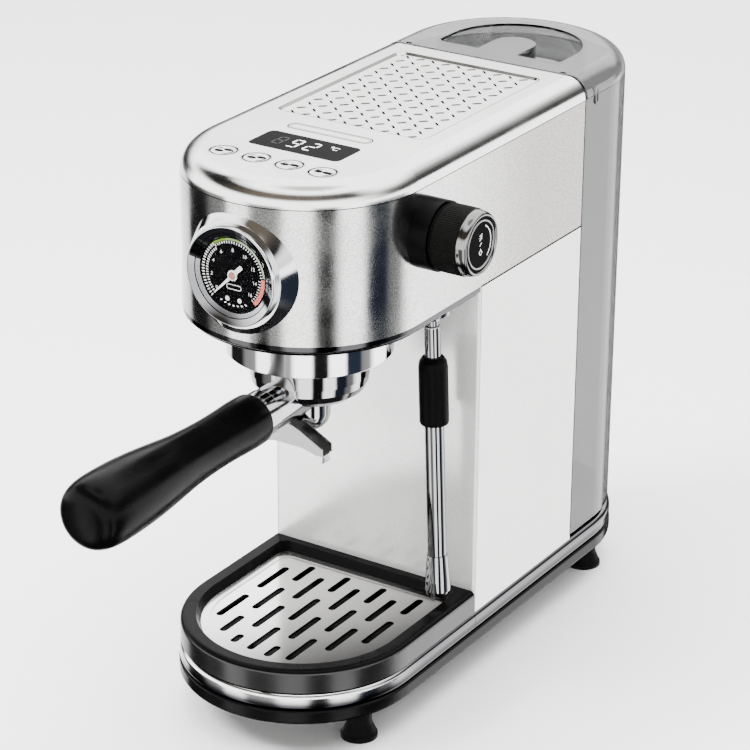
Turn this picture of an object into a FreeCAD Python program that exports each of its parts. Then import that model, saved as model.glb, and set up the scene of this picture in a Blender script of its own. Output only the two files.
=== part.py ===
import FreeCAD, Part
import math
import os

# Slim pump espresso machine with a removable rear water reservoir.
# Lengths are millimetres. While it is being modelled, X = 0 is the mid-plane, the brewing
# axis is the line X = 0, Y = 0, the front is -Y, and Z = 0 is the plane under the feet.
# The parts are written out shifted so that the origin is at the middle of the base.

V = FreeCAD.Vector

# ---------------------------------------------------------------- driving dimensions
HALF_W = 68.6            # half width of the casing, and the radius of its round ends
REAR_Y = 208.0           # centre of the round rear end
COLUMN_Y = 65.4          # front face of the column
TANK_Y = 178.0           # seam between the casing and the reservoir
BASE_FRONT_Y = -8.0      # centre of the base's round front end

FOOT_H = 20.4            # underside of the base
PAN_LIP_Z = 29.2         # top of the dark lower lip of the base
BASE_Z = 40.0            # top of the base
TRAY_Z = 54.0            # top of the drip tray
GRID_Z = 48.5            # top of the drip grid
HEAD_Z = 242.0           # bottom edge of the head's side skin
TOP_SEAM_Z = 317.6       # seam between the side skin and the top cover
TOP_Z = 330.0            # top of the machine
EDGE_R = 12.4            # rounding of the top edges

SKIN = 1.2               # sheet thickness of the steel skins
COVER_T = 1.6            # wall of the top cover
GAP = 0.3                # working gap between neighbouring pieces

GROUP_R = 46.0           # chrome collar of the brewing group
GROUP_Z = 214.0          # its lower edge
BOWL_R = 33.0            # portafilter bowl
BOWL_Z = 188.0           # its underside
HANDLE_Z = 191.3         # axis of the handle
HANDLE_START = 55.0      # distance of the handle's front end from the brewing axis
HANDLE_END = 203.0       # distance of the handle's far end

GAUGE_Z = 278.6          # centre of the pressure gauge
KNOB_Y = 9.1             # steam knob axis
KNOB_Z = 291.5
KNOB_END = 101.8         # outer face of the knob
WAND_X = 49.3            # ball joint of the steam wand
WAND_Y = 46.0
WAND_Z = 232.0
WAND_LEAN = 2.3          # degrees that the wand leans outwards at rest
WAND_LENGTH = 175.0      # from the ball's centre to the tip

HINGE_Y = 180.4          # reservoir lid hinge axis
HINGE_Z = 328.1
TANK_FLOOR = 42.0        # underside of the reservoir
SEAT_Y = 222.0           # reservoir outlet

BUTTON_X = (-31.2, -10.4, 10.4, 31.2)
BUTTON_Y = -33.8
BUTTON_R = 8.0
FEET = ((-51.0, -28.0), (51.0, -28.0), (-54.0, 224.0), (54.0, 224.0))

PAN_R = HALF_W + 1.8     # lower lip of the base, the widest point on the left
CORD_R = 3.6             # bore of the power cord gland
GLAND_END = 280.4        # outer face of the power cord gland

ORIGIN = V((KNOB_END - PAN_R) / 2, (GLAND_END - HANDLE_END) / 2, 0)

os.makedirs("parts", exist_ok=True)


# ---------------------------------------------------------------- helpers
def box(x0, x1, y0, y1, z0, z1):
    """Box between two corners."""
    return Part.makeBox(x1 - x0, y1 - y0, z1 - z0, V(x0, y0, z0))


def rod(axis, centre, r, a0, a1):
    """Cylinder along X, Y or Z. centre gives the other two coordinates, in order."""
    p, q = centre
    start = {"x": V(a0, p, q), "y": V(p, a0, q), "z": V(p, q, a0)}[axis]
    way = {"x": V(1, 0, 0), "y": V(0, 1, 0), "z": V(0, 0, 1)}[axis]
    return Part.makeCylinder(r, a1 - a0, start, way)


def pipe(axis, centre, r, bore, a0, a1):
    """Hollow cylinder."""
    return rod(axis, centre, r, a0, a1).cut(rod(axis, centre, bore, a0 - 1, a1 + 1))


def prism(edges, z0, z1):
    """Closed outline of edges at Z = 0, extruded from z0 to z1."""
    face = Part.Face(Part.Wire(edges))
    face.translate(V(0, 0, z0))
    return face.extrude(V(0, 0, z1 - z0))


def front_arch(r, centre_y, end_y, z0, z1):
    """Prism that is round at the front and flat at end_y."""
    a, b = V(-r, centre_y, 0), V(r, centre_y, 0)
    c, d = V(r, end_y, 0), V(-r, end_y, 0)
    nose = Part.Arc(a, V(0, centre_y - r, 0), b).toShape()
    return prism([nose, Part.makeLine(b, c), Part.makeLine(c, d), Part.makeLine(d, a)], z0, z1)


def rear_arch(r, start_y, centre_y, z0, z1):
    """Prism that is flat at start_y and round at the rear."""
    return front_arch(r, -centre_y, -start_y, z0, z1).mirror(V(0, 0, 0), V(0, 1, 0))


def stadium(r, y0, y1, z0, z1):
    """Prism that is round at both ends, with end centres at y0 and y1."""
    a, b, c, d = V(-r, y0, 0), V(r, y0, 0), V(r, y1, 0), V(-r, y1, 0)
    nose = Part.Arc(a, V(0, y0 - r, 0), b).toShape()
    tail = Part.Arc(c, V(0, y1 + r, 0), d).toShape()
    return prism([nose, Part.makeLine(b, c), tail, Part.makeLine(d, a)], z0, z1)


def rounded_rect(x0, x1, y0, y1, r, z):
    """Wire of a rectangle with rounded corners."""
    k = r * (1 - math.sqrt(0.5))
    edges = [
        Part.makeLine(V(x0 + r, y0, z), V(x1 - r, y0, z)),
        Part.Arc(V(x1 - r, y0, z), V(x1 - k, y0 + k, z), V(x1, y0 + r, z)).toShape(),
        Part.makeLine(V(x1, y0 + r, z), V(x1, y1 - r, z)),
        Part.Arc(V(x1, y1 - r, z), V(x1 - k, y1 - k, z), V(x1 - r, y1, z)).toShape(),
        Part.makeLine(V(x1 - r, y1, z), V(x0 + r, y1, z)),
        Part.Arc(V(x0 + r, y1, z), V(x0 + k, y1 - k, z), V(x0, y1 - r, z)).toShape(),
        Part.makeLine(V(x0, y1 - r, z), V(x0, y0 + r, z)),
        Part.Arc(V(x0, y0 + r, z), V(x0 + k, y0 + k, z), V(x0 + r, y0, z)).toShape(),
    ]
    return Part.Wire(edges)


def rounded_plate(x0, x1, y0, y1, r, z0, z1):
    """Plate with rounded corners."""
    return Part.Face(rounded_rect(x0, x1, y0, y1, r, z0)).extrude(V(0, 0, z1 - z0))


def turned(points, centre=(0, 0), axis="z"):
    """Solid of revolution from (radius, height) points, closed along its axis."""
    outline = [V(r, 0, h) for r, h in points]
    if outline[0].x > 0:
        outline.insert(0, V(0, 0, outline[0].z))
    if outline[-1].x > 0:
        outline.append(V(0, 0, outline[-1].z))
    face = Part.Face(Part.makePolygon(outline + [outline[0]]))
    solid = face.revolve(V(0, 0, 0), V(0, 0, 1), 360)
    if axis == "y":
        solid.rotate(V(0, 0, 0), V(1, 0, 0), -90)
        solid.translate(V(centre[0], 0, centre[1]))
    elif axis == "x":
        solid.rotate(V(0, 0, 0), V(0, 1, 0), 90)
        solid.translate(V(0, centre[0], centre[1]))
    else:
        solid.translate(V(centre[0], centre[1], 0))
    return solid


def soften(solid, r, wanted):
    """Round the edges for which wanted(edge) is true."""
    return solid.makeFillet(r, [e for e in solid.Edges if wanted(e)])


def level(z, y_limit=None, tol=0.01):
    """Edge test: the edge lies in the plane at height z, and not in the plane at y_limit."""
    def test(edge):
        b = edge.BoundBox
        flat = abs(b.ZMin - z) < tol and abs(b.ZMax - z) < tol
        if y_limit is None:
            return flat
        return flat and not (abs(b.YMin - y_limit) < tol and abs(b.YMax - y_limit) < tol)
    return test


def bent_tube(points, r, bend):
    """Round tube along straight runs joined by tangent arcs of radius bend."""
    pts = [V(*p) for p in points]
    edges = []
    at = pts[0]
    for before, corner, after in zip(pts, pts[1:], pts[2:]):
        u = (before - corner).normalize()
        w = (after - corner).normalize()
        half = u.getAngle(w) / 2
        reach = bend / math.tan(half)
        start, end = corner + u * reach, corner + w * reach
        middle = corner + (u + w).normalize() * (bend / math.sin(half) - bend)
        edges.append(Part.makeLine(at, start))
        edges.append(Part.Arc(start, middle, end).toShape())
        at = end
    edges.append(Part.makeLine(at, pts[-1]))
    path = Part.Wire(edges)
    ring = Part.Wire(Part.makeCircle(r, pts[0], pts[1] - pts[0]))
    return path.makePipeShell([ring], True, False)


def join(first, *others):
    """Union of solids without the seams between coplanar faces."""
    return first.multiFuse(list(others)).removeSplitter()


def lean(solid):
    """Turn a piece of the wand from hanging straight down to its resting lean."""
    solid.rotate(V(WAND_X, WAND_Y, WAND_Z), V(0, -1, 0), WAND_LEAN)
    return solid


def both_sides(solid):
    """A piece and its mirror image across the mid-plane, as two separate solids."""
    return Part.makeCompound([solid, solid.mirror(V(0, 0, 0), V(1, 0, 0))])


# ---------------------------------------------------------------- base
PAN_WALL_R = HALF_W - 1.8
TRIM_R = HALF_W + 1.5
DECK_T = 2.5
GLAND_Z = 30.2
GLAND_R = 5.8


def base_pan():
    lip = stadium(PAN_R, BASE_FRONT_Y, REAR_Y, FOOT_H, PAN_LIP_Z)
    lip = soften(lip, 2.6, level(FOOT_H))
    lip = soften(lip, 1.2, level(PAN_LIP_Z))
    wall = stadium(PAN_WALL_R, BASE_FRONT_Y, REAR_Y, PAN_LIP_Z, BASE_Z - DECK_T - 0.1)
    room = stadium(PAN_WALL_R - 2.4, BASE_FRONT_Y, REAR_Y, FOOT_H + 2.6, BASE_Z)
    pan = join(lip, wall).cut(room)
    return pan.cut(rod("y", (0, GLAND_Z), GLAND_R + 0.1, REAR_Y, GLAND_END + 5))


def base_trim(front):
    """Chrome band round the base, in a front and a rear length that meet at the column."""
    band = stadium(TRIM_R, BASE_FRONT_Y, REAR_Y, PAN_LIP_Z + 0.1, BASE_Z - 0.2)
    band = soften(band, 2.6, level(PAN_LIP_Z + 0.1))
    band = soften(band, 3.6, level(BASE_Z - 0.2))
    band = band.cut(stadium(PAN_WALL_R + 0.15, BASE_FRONT_Y, REAR_Y, 0, BASE_Z))
    far = 400.0
    if front:
        return band.cut(box(-far, far, COLUMN_Y - 0.15, far, 0, far))
    band = band.cut(box(-far, far, -far, COLUMN_Y + 0.15, 0, far))
    return band.cut(rod("y", (0, GLAND_Z), GLAND_R + 0.3, REAR_Y, GLAND_END + 5))


def base_deck():
    """Plate that closes the base, with a raised pad under the reservoir."""
    deck = stadium(PAN_WALL_R, BASE_FRONT_Y, REAR_Y, BASE_Z - DECK_T, BASE_Z)
    pad = rear_arch(PAN_WALL_R - 0.4, TANK_Y + 1, REAR_Y, BASE_Z - 0.5, TANK_FLOOR)
    deck = join(deck, pad).cut(box(-48, 48, 84, 160, 0, 60))
    deck = deck.cut(rod("z", (0, SEAT_Y), 13.2, BASE_Z, 60))
    return deck.cut(rod("z", (0, SEAT_Y), 10.2, 0, 60))


def feet():
    profile = [(10.5, 0), (10.5, 2.2), (9.6, 3.6), (7.6, 8.4), (7.3, 11), (7.3, FOOT_H)]
    return Part.makeCompound([turned(profile, xy) for xy in FEET])


def tank_seat():
    seat = join(rod("z", (0, SEAT_Y), 9.8, 31, 41), rod("z", (0, SEAT_Y), 13, BASE_Z, TANK_FLOOR))
    seat = seat.cut(rod("z", (0, SEAT_Y), 6.15, 33.5, 60))
    return seat.cut(rod("z", (0, SEAT_Y), 2.5, 20, 40))


def cord_gland():
    """Strain-relief bush where the power cord enters, at the back of the base."""
    rear = REAR_Y + HALF_W
    gland = join(rod("y", (0, GLAND_Z), GLAND_R, rear - 8, GLAND_END),
                 rod("y", (0, GLAND_Z), 8.0, GLAND_END - 1.8, GLAND_END),
                 rod("y", (0, GLAND_Z), 7.0, rear - 8, rear - 4.8))
    return gland.cut(rod("y", (0, GLAND_Z), CORD_R, 0, 400))


# ---------------------------------------------------------------- drip tray
TRAY_R = HALF_W + 0.8
TRAY_END = COLUMN_Y - 0.4
GRID_R = 57.7
RIM_R = 60.4
TRAY_FLOOR = 41.6
GRID_T = 1.6


def drip_tray():
    tray = front_arch(TRAY_R, BASE_FRONT_Y, TRAY_END, BASE_Z + GAP, TRAY_Z)
    tray = soften(tray, 3.2, level(TRAY_Z, TRAY_END))
    seat = rounded_arch(GRID_R + GAP, GRID_Z - GRID_T, TRAY_Z + 1)
    basin = rounded_arch(GRID_R - 2.4, TRAY_FLOOR, TRAY_Z)
    mouth = [arch_outline(GRID_R + GAP, GRID_Z + 0.8), arch_outline(RIM_R, TRAY_Z + 0.02)]
    return tray.cut(seat).cut(basin).cut(Part.makeLoft(mouth, True, True))


def rounded_arch(r, z0, z1):
    """Prism of the tray's opening: round at the front, square with soft corners behind."""
    solid = front_arch(r, BASE_FRONT_Y, TRAY_END - (TRAY_R - r) + 4, z0, z1)
    corner = TRAY_END - (TRAY_R - r) + 4
    return soften(solid, 6.0, lambda e: (e.BoundBox.XLength < 0.01 and e.BoundBox.YLength < 0.01
                                         and abs(e.BoundBox.YMin - corner) < 0.01))


def arch_outline(r, z):
    """Outline of the tray's opening at one height."""
    floor = [f for f in rounded_arch(r, z, z + 1).Faces if f.BoundBox.ZMax < z + 0.01]
    return floor[0].OuterWire


def drip_grid():
    """Steel plate with a raised border and rows of long slots."""
    plate = rounded_arch(GRID_R, GRID_Z - GRID_T, GRID_Z + 0.5)
    plate = plate.cut(rounded_arch(GRID_R - 4.5, GRID_Z, TRAY_Z))
    slots = []
    pitch_x, pitch_y, length, width = 12.4, 40.5, 30.0, 4.6
    for column in range(8):
        x = (column - 3.5) * pitch_x
        for row in range(-2, 3):
            y0 = -12.5 + row * pitch_y + (column % 2) * 18.0 - 18.0
            y1 = y0 + length
            front = BASE_FRONT_Y - math.sqrt((GRID_R - 7) ** 2 - x * x) + 4
            y0 = max(y0, front)
            y1 = min(y1, TRAY_END - 16.0)
            if y1 - y0 > 9.0:
                slots.append(rounded_plate(x - width / 2, x + width / 2, y0, y1,
                                           width / 2 - 0.01, GRID_Z - 5, GRID_Z + 2))
    return plate.cut(Part.makeCompound(slots))


# ---------------------------------------------------------------- casing
def column_shell():
    """Steel skin round the front and sides of the column, open at the back."""
    outer = box(-HALF_W, HALF_W, COLUMN_Y, TANK_Y, BASE_Z, HEAD_Z - GAP)
    outer = soften(outer, 2.0, lambda e: (e.BoundBox.ZLength > 100
                                          and abs(e.BoundBox.YMin - COLUMN_Y) < 0.01))
    inner = box(-HALF_W + SKIN, HALF_W - SKIN, COLUMN_Y + SKIN, TANK_Y + 1, 0, 400)
    return outer.cut(inner)


def head_shell():
    """Steel side skin of the head, with holes for the gauge and the steam valve."""
    outer = front_arch(HALF_W, 0, TANK_Y, HEAD_Z, TOP_SEAM_Z - 0.2)
    inner = front_arch(HALF_W - SKIN, 0, TANK_Y + 1, 0, 400)
    shell = outer.cut(inner)
    shell = shell.cut(rod("y", (0, GAUGE_Z), 25.4, -100, 0))
    return shell.cut(rod("x", (KNOB_Y, KNOB_Z), 7.0, 0, 100))


def top_cover():
    """Pressed cover with rounded edges and openings for the controls and cup warmer."""
    outer = front_arch(HALF_W, 0, TANK_Y, TOP_SEAM_Z, TOP_Z)
    outer = soften(outer, EDGE_R - 0.05, level(TOP_Z, TANK_Y))
    inner = front_arch(HALF_W - COVER_T, 0, TANK_Y - COVER_T, TOP_SEAM_Z - 1, TOP_Z - COVER_T)
    inner = soften(inner, EDGE_R - COVER_T, level(TOP_Z - COVER_T, TANK_Y - COVER_T))
    cover = outer.cut(inner)
    posts = [rod("z", (x, y), 2.6, BOARD_Z + 1.6, TOP_Z - 1) for x in (-40, 40) for y in (-20, 14)]
    cover = join(cover, *posts)
    x0, x1, y0, y1 = WARMER
    cover = cover.cut(rounded_plate(x0 - 0.2, x1 + 0.2, y0 - 0.2, y1 + 0.2, 5.2, 320, 340))
    x0, x1, y0, y1 = WINDOW
    cover = cover.cut(rounded_plate(x0 - 0.15, x1 + 0.15, y0 - 0.15, y1 + 0.15,
                                    WINDOW_R + 0.15, 320, 340))
    for x in BUTTON_X:
        cover = cover.cut(rod("z", (x, BUTTON_Y), BUTTON_R + 0.2, 320, 340))
    return cover.cut(badge_groove())


def badge_groove():
    """Shallow engraved outline of an empty oval badge."""
    half, tall, width = 26.6, 4.4, 0.7
    outer = rounded_plate(-half, half, 20 - tall, 20 + tall, tall - 0.01, TOP_Z - 0.3, TOP_Z + 1)
    inner = rounded_plate(-half + width, half - width, 20 - tall + width, 20 + tall - width,
                          tall - width - 0.01, TOP_Z - 1, TOP_Z + 1)
    return outer.cut(inner)


WARMER = (-47.6, 47.6, 37.5, 165.0)
WARMER_FLOOR = TOP_Z - 1.3
WARMER_PITCH = 8.55
WARMER_ROW = 8.45


def cup_warmer():
    """Recessed plate with a basket-weave of vent slots and pressed dimples."""
    x0, x1, y0, y1 = WARMER
    plate = rounded_plate(x0, x1, y0, y1, 5.0, WARMER_FLOOR - 1.2, TOP_Z)
    mouth = rounded_rect(x0 + 0.3, x1 - 0.3, y0 + 0.3, y1 - 0.3, 4.7, TOP_Z + 0.01)
    floor = rounded_rect(x0 + 1.4, x1 - 1.4, y0 + 1.4, y1 - 1.4, 3.6, WARMER_FLOOR)
    plate = plate.cut(Part.makeLoft([floor, mouth], True, True))
    vents, dimples = [], []
    for column in range(10):
        for row in range(15):
            x = (column - 4.5) * WARMER_PITCH - 0.9
            y = 42.3 + row * WARMER_ROW
            vent = (column + row) % 2 == 0
            depth = 3.0 if vent else 0.45
            dash = rounded_plate(-2.7, 2.7, -0.75, 0.75, 0.74, WARMER_FLOOR - depth, TOP_Z)
            dash.rotate(V(0, 0, 0), V(0, 0, 1), -45 if vent else 45)
            dash.translate(V(x, y, 0))
            (vents if vent else dimples).append(dash)
    return plate.cut(Part.makeCompound(vents)).cut(Part.makeCompound(dimples))


def head_underside():
    """Plastic cover under the head, open for the group and the wand."""
    cover = front_arch(HALF_W - 2.1, 0, COLUMN_Y - 0.2, 235.6, HEAD_Z - 0.2)
    cover = soften(cover, 2.6, level(235.6, COLUMN_Y - 0.2))
    cover = cover.cut(front_arch(HALF_W - 5.0, 0, COLUMN_Y - 3.0, 238.2, HEAD_Z + 1))
    cover = cover.cut(rod("z", (0, 0), 44.0, 200, 260))
    return cover.cut(rod("z", (WAND_X, WAND_Y), 11.3, 200, 260))


def head_rim():
    """Chrome strip round the lower edge of the head."""
    rim = front_arch(HALF_W, 0, COLUMN_Y - 0.2, 238.2, HEAD_Z - 0.2)
    rim = soften(rim, 1.4, level(238.2, COLUMN_Y - 0.2))
    return rim.cut(front_arch(HALF_W - 1.9, 0, COLUMN_Y, 200, 260))


def bay_wall():
    """Plastic wall that closes the column and the head in front of the reservoir."""
    wall = box(-HALF_W + SKIN + 0.3, HALF_W - SKIN - 0.3, TANK_Y - 3.2, TANK_Y - 0.4,
               BASE_Z + 0.1, TOP_SEAM_Z - 0.4)
    return wall


def chassis_frame():
    """Folded steel frame: a shelf in the head and an upright plate down the column."""
    shelf = front_arch(60, 0, 172, HEAD_Z + 1.2, HEAD_Z + 3.2)
    upright = box(-60, 60, 170, 172, BASE_Z + 0.2, HEAD_Z + 3.2)
    frame = join(shelf, upright)
    frame = frame.cut(rod("z", (0, 0), 12.2, 200, 260))
    frame = frame.cut(rod("z", (WAND_X, WAND_Y), 6.6, 200, 260))
    return frame.cut(box(-30, 30, 120, 158, 200, 260))


# ---------------------------------------------------------------- controls on the top
WINDOW = (-28.8, 28.8, -16.7, 7.9)
WINDOW_R = 3.6
BOARD_Z = 319.8


def display_window():
    x0, x1, y0, y1 = WINDOW
    return rounded_plate(x0, x1, y0, y1, WINDOW_R, TOP_Z - COVER_T, TOP_Z)


def button_board():
    """Circuit board with the soldered display block and a tact switch under each button."""
    board = rounded_plate(-44, 44, -44, 18, 3.0, BOARD_Z, BOARD_Z + 1.6)
    block = rounded_plate(-24, 24, -14.5, 5.5, 1.0, BOARD_Z + 1, TOP_Z - COVER_T - 0.1)
    switches = [box(x - 3, x + 3, BUTTON_Y - 3, BUTTON_Y + 3, BOARD_Z + 1.5, BOARD_Z + 3.2)
                for x in BUTTON_X]
    return join(board, block, *switches)


def button(x):
    """Round key with a retaining flange under the cover."""
    cap = rod("z", (x, BUTTON_Y), BUTTON_R, TOP_Z - 2.6, TOP_Z + 0.25)
    cap = soften(cap, 0.2, level(TOP_Z + 0.25))
    flange = rod("z", (x, BUTTON_Y), BUTTON_R + 1.1, TOP_Z - 2.9, TOP_Z - COVER_T - 0.2)
    stem = rod("z", (x, BUTTON_Y), 2.4, BOARD_Z + 4.2, TOP_Z - 2.8)
    return join(cap, flange, stem)


def control_board():
    board = box(-59.0, -57.4, 84, 160, 252, 308)
    relays = [box(-57.5, -42, y, y + 14, 260, 276) for y in (90, 112, 134)]
    return join(board, *relays)


# ---------------------------------------------------------------- pressure gauge
BEZEL_FRONT = -74.0
DIAL_Y = -70.5


FLANGE_R = 29.5          # front face of the gauge flange
FLARE_R = 34.2           # foot of the flange on the head


def flange_ring(radius, depth):
    """Closed smooth line of one radius round the gauge axis, at a depth that depends on x."""
    points = []
    for i in range(48):
        angle = 2 * math.pi * i / 48
        x = radius * math.cos(angle)
        points.append(V(x, depth(x), GAUGE_Z + radius * math.sin(angle)))
    line = Part.BSplineCurve()
    line.interpolate(Points=points, PeriodicFlag=True)
    return Part.Wire(line.toShape())


def gauge_flange():
    """Round flange that flares out to meet the curve of the head."""
    front = flange_ring(FLANGE_R, lambda x: -70.0)
    foot = flange_ring(FLARE_R, lambda x: -math.sqrt((HALF_W - 0.6) ** 2 - x * x))
    back = flange_ring(FLARE_R, lambda x: -40.0)
    flange = Part.makeLoft([front, foot, back], True, True)
    flange = flange.cut(front_arch(HALF_W + 0.02, 0, 50, 200, 320))
    return flange.cut(rod("y", (0, GAUGE_Z), 25.2, -90, 0))


def gauge_bezel():
    bezel = rod("y", (0, GAUGE_Z), 27.9, BEZEL_FRONT, -70.05)
    bezel = soften(bezel, 1.7, lambda e: abs(e.BoundBox.YMax - BEZEL_FRONT) < 0.01)
    bezel = bezel.cut(rod("y", (0, GAUGE_Z), 22.4, -90, 0))
    return bezel.cut(rod("y", (0, GAUGE_Z), 25.0, -73.4, 0))


def gauge_lens():
    return rod("y", (0, GAUGE_Z), 24.8, -73.35, -72.35)


def gauge_case():
    """Cup behind the dial that holds the gauge movement."""
    case = rod("y", (0, GAUGE_Z), 24.8, -72.3, -46)
    case = case.cut(rod("y", (0, GAUGE_Z), 23.1, -80, DIAL_Y + 0.9))
    case = case.cut(rod("y", (0, GAUGE_Z), 20.5, -80, -48))
    nipple = rod("y", (0, GAUGE_Z), 4.0, -48.5, -38)
    return join(case, nipple)


def gauge_dial():
    return pipe("y", (0, GAUGE_Z), 22.9, 0.95, DIAL_Y, DIAL_Y + 0.85)


def gauge_needle():
    """Pointer on its spindle, at rest on the lower left end of the scale."""
    y0, y1 = DIAL_Y - 0.95, DIAL_Y - 0.35
    outline = [V(-4.5, y0, -1.2), V(-4.5, y0, 1.2), V(15.8, y0, 0.25), V(15.8, y0, -0.25)]
    pointer = Part.Face(Part.makePolygon(outline + [outline[0]])).extrude(V(0, y1 - y0, 0))
    pointer.rotate(V(0, 0, 0), V(0, 1, 0), 135)
    pointer.translate(V(0, 0, GAUGE_Z))
    hub = rod("y", (0, GAUGE_Z), 2.4, y0 - 0.5, y1)
    spindle = rod("y", (0, GAUGE_Z), 0.85, y1 - 0.2, -60)
    return join(pointer, hub, spindle)


# ---------------------------------------------------------------- steam valve and knob
COLLAR_END = 79.0
KNOB_START = 79.4
RING_START = 96.4


def knob_collar():
    collar = pipe("x", (KNOB_Y, KNOB_Z), 19.2, 8.0, 60, COLLAR_END)
    return collar.cut(front_arch(HALF_W + 0.02, 0, 100, 200, 320))


def steam_knob():
    """Fluted barrel of the steam knob."""
    knob = turned([(18.1, KNOB_START), (18.5, KNOB_START + 0.6), (18.4, RING_START)],
                  (KNOB_Y, KNOB_Z), "x")
    flutes = []
    count = 48
    for i in range(count):
        a = 2 * math.pi * i / count
        centre = (KNOB_Y + 18.85 * math.cos(a), KNOB_Z + 18.85 * math.sin(a))
        flutes.append(rod("x", centre, 0.7, KNOB_START + 2.5, RING_START - 0.8))
    knob = knob.cut(Part.makeCompound(flutes))
    return knob.cut(rod("x", (KNOB_Y, KNOB_Z), 3.02, 0, 92.0))


def knob_ring():
    ring = rod("x", (KNOB_Y, KNOB_Z), 17.8, RING_START, KNOB_END)
    ring = soften(ring, 1.6, lambda e: abs(e.BoundBox.XMin - KNOB_END) < 0.01)
    return ring.cut(rod("x", (KNOB_Y, KNOB_Z), 14.9, 0, 200))


def knob_face():
    return rod("x", (KNOB_Y, KNOB_Z), 14.8, RING_START + 0.05, KNOB_END - 0.9)


def valve_stem():
    return rod("x", (KNOB_Y, KNOB_Z), 3.0, 50.0, 91.9)


def steam_valve():
    """Brass needle valve behind the knob, with an inlet and an outlet boss."""
    barrel = rod("x", (KNOB_Y, KNOB_Z), 9.5, 34, 64)
    inlet = rod("y", (42, KNOB_Z), 5.0, KNOB_Y, KNOB_Y + 18)
    outlet = rod("z", (42, KNOB_Y), 5.0, KNOB_Z - 18, KNOB_Z)
    valve = join(barrel, inlet, outlet)
    return valve.cut(rod("x", (KNOB_Y, KNOB_Z), 3.08, 49.5, 80))


# ---------------------------------------------------------------- steam wand
def wand_socket():
    """Fixed nut that holds the swivel cup under the head."""
    nut = join(rod("z", (WAND_X, WAND_Y), 11.0, 229.0, 243.0),
               rod("z", (WAND_X, WAND_Y), 6.3, 242.5, 252.0))
    nut = soften(nut, 1.0, level(229.0))
    nut = nut.cut(rod("z", (WAND_X, WAND_Y), 9.98, 228, 240.4))
    return nut.cut(rod("z", (WAND_X, WAND_Y), 2.5, 228, 251))


def wand_swivel():
    """Cup that turns in the socket, slotted so that the wand can swing outwards."""
    cup = rod("z", (WAND_X, WAND_Y), 9.9, 227.6, 240.2)
    ball_room = Part.makeSphere(8.12, V(WAND_X, WAND_Y, WAND_Z))
    mouth = rod("z", (WAND_X, WAND_Y), 4.9, 220, WAND_Z)
    slot = box(WAND_X, WAND_X + 12, WAND_Y - 4.9, WAND_Y + 4.9, 220, WAND_Z)
    return cup.cut(ball_room).cut(mouth).cut(slot).cut(rod("z", (WAND_X, WAND_Y), 2.5, 230, 245))


GRIP_END = WAND_Z - 68.4


def steam_wand():
    """Ball and bright tube."""
    ball = Part.makeSphere(8.0, V(WAND_X, WAND_Y, WAND_Z))
    neck = rod("z", (WAND_X, WAND_Y), 3.5, WAND_Z - 12, WAND_Z)
    tube = rod("z", (WAND_X, WAND_Y), 5.5, WAND_Z - WAND_LENGTH + 26, GRIP_END - 0.1)
    waist = rod("z", (WAND_X, WAND_Y), 4.5, GRIP_END - 1, WAND_Z - 10)
    tube = join(tube, soften(waist, 1.2, level(WAND_Z - 10)))
    spout = rod("z", (WAND_X, WAND_Y), 3.0, WAND_Z - WAND_LENGTH + 8, WAND_Z - WAND_LENGTH + 30)
    wand = join(ball, neck, tube, spout)
    bore = rod("z", (WAND_X, WAND_Y), 1.5, WAND_Z - WAND_LENGTH, WAND_Z + 10)
    return lean(wand.cut(bore))


def wand_grip():
    """Black finger sleeve that is moulded into a waist of the tube."""
    z0, z1 = GRIP_END, WAND_Z - 28.6
    profile = [(7.9, z0), (8.3, z0 + 1), (8.3, z1 - 6), (7.7, z1 - 2.6), (6.2, z1 - 0.4), (5.6, z1)]
    grip = turned(profile, (WAND_X, WAND_Y))
    return lean(grip.cut(rod("z", (WAND_X, WAND_Y), 4.52, 100, 300)))


def froth_sleeve():
    """Flared frothing sleeve pushed over the end of the tube."""
    tip = WAND_Z - WAND_LENGTH
    profile = [(5.2, tip), (6.6, tip + 1.2), (7.3, tip + 4.0), (7.1, tip + 10), (6.0, tip + 25.8)]
    sleeve = turned(profile, (WAND_X, WAND_Y))
    sleeve = sleeve.cut(rod("z", (WAND_X, WAND_Y), 3.05, tip + 3, tip + 40))
    return lean(sleeve.cut(rod("z", (WAND_X, WAND_Y), 2.4, tip - 1, tip + 4)))


# ---------------------------------------------------------------- brewing group
LUG_Z = 217.6
LUG_T = 3.6


def group_collar():
    collar = rod("z", (0, 0), GROUP_R, GROUP_Z, 235.4)
    collar = soften(collar, 0.8, level(GROUP_Z))
    return collar.cut(rod("z", (0, 0), 43.4, 200, 260))


def sector(r0, r1, a0, a1, z0, z1):
    """Part of a ring between two angles in degrees."""
    start = V(r1 * math.cos(math.radians(a0)), r1 * math.sin(math.radians(a0)), 0)
    wedge = Part.makeCylinder(r1, z1 - z0, V(0, 0, z0), V(0, 0, 1), a1 - a0)
    wedge.rotate(V(0, 0, 0), V(0, 0, 1), math.degrees(math.atan2(start.y, start.x)))
    return wedge.cut(rod("z", (0, 0), r0, z0 - 1, z1 + 1))


def group_head():
    """Cast body with a bayonet channel: lugs enter through notches and turn over a ledge."""
    body = join(rod("z", (0, 0), 43.2, GROUP_Z + 0.6, 235.5), rod("z", (0, 0), 43.6, 235.6, 243.1),
                rod("z", (0, 0), 43.2, 235.4, 235.7), rod("z", (0, 0), 12, 243, 250))
    body = body.cut(rod("z", (0, 0), BOWL_R + GAP, 200, 227.5))
    body = body.cut(rod("z", (0, 0), 39.4, LUG_Z - GAP, LUG_Z + LUG_T + GAP))
    for middle in (40, 160, 280):
        notch = sector(BOWL_R, 39.4, middle - 14, middle + 14, 200, LUG_Z + 1)
        body = body.cut(notch)
    return body.cut(rod("z", (0, 0), 2.5, 200, 300))


def group_gasket():
    return pipe("z", (0, 0), 32.9, 26.6, 223.2, 227.4)


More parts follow.
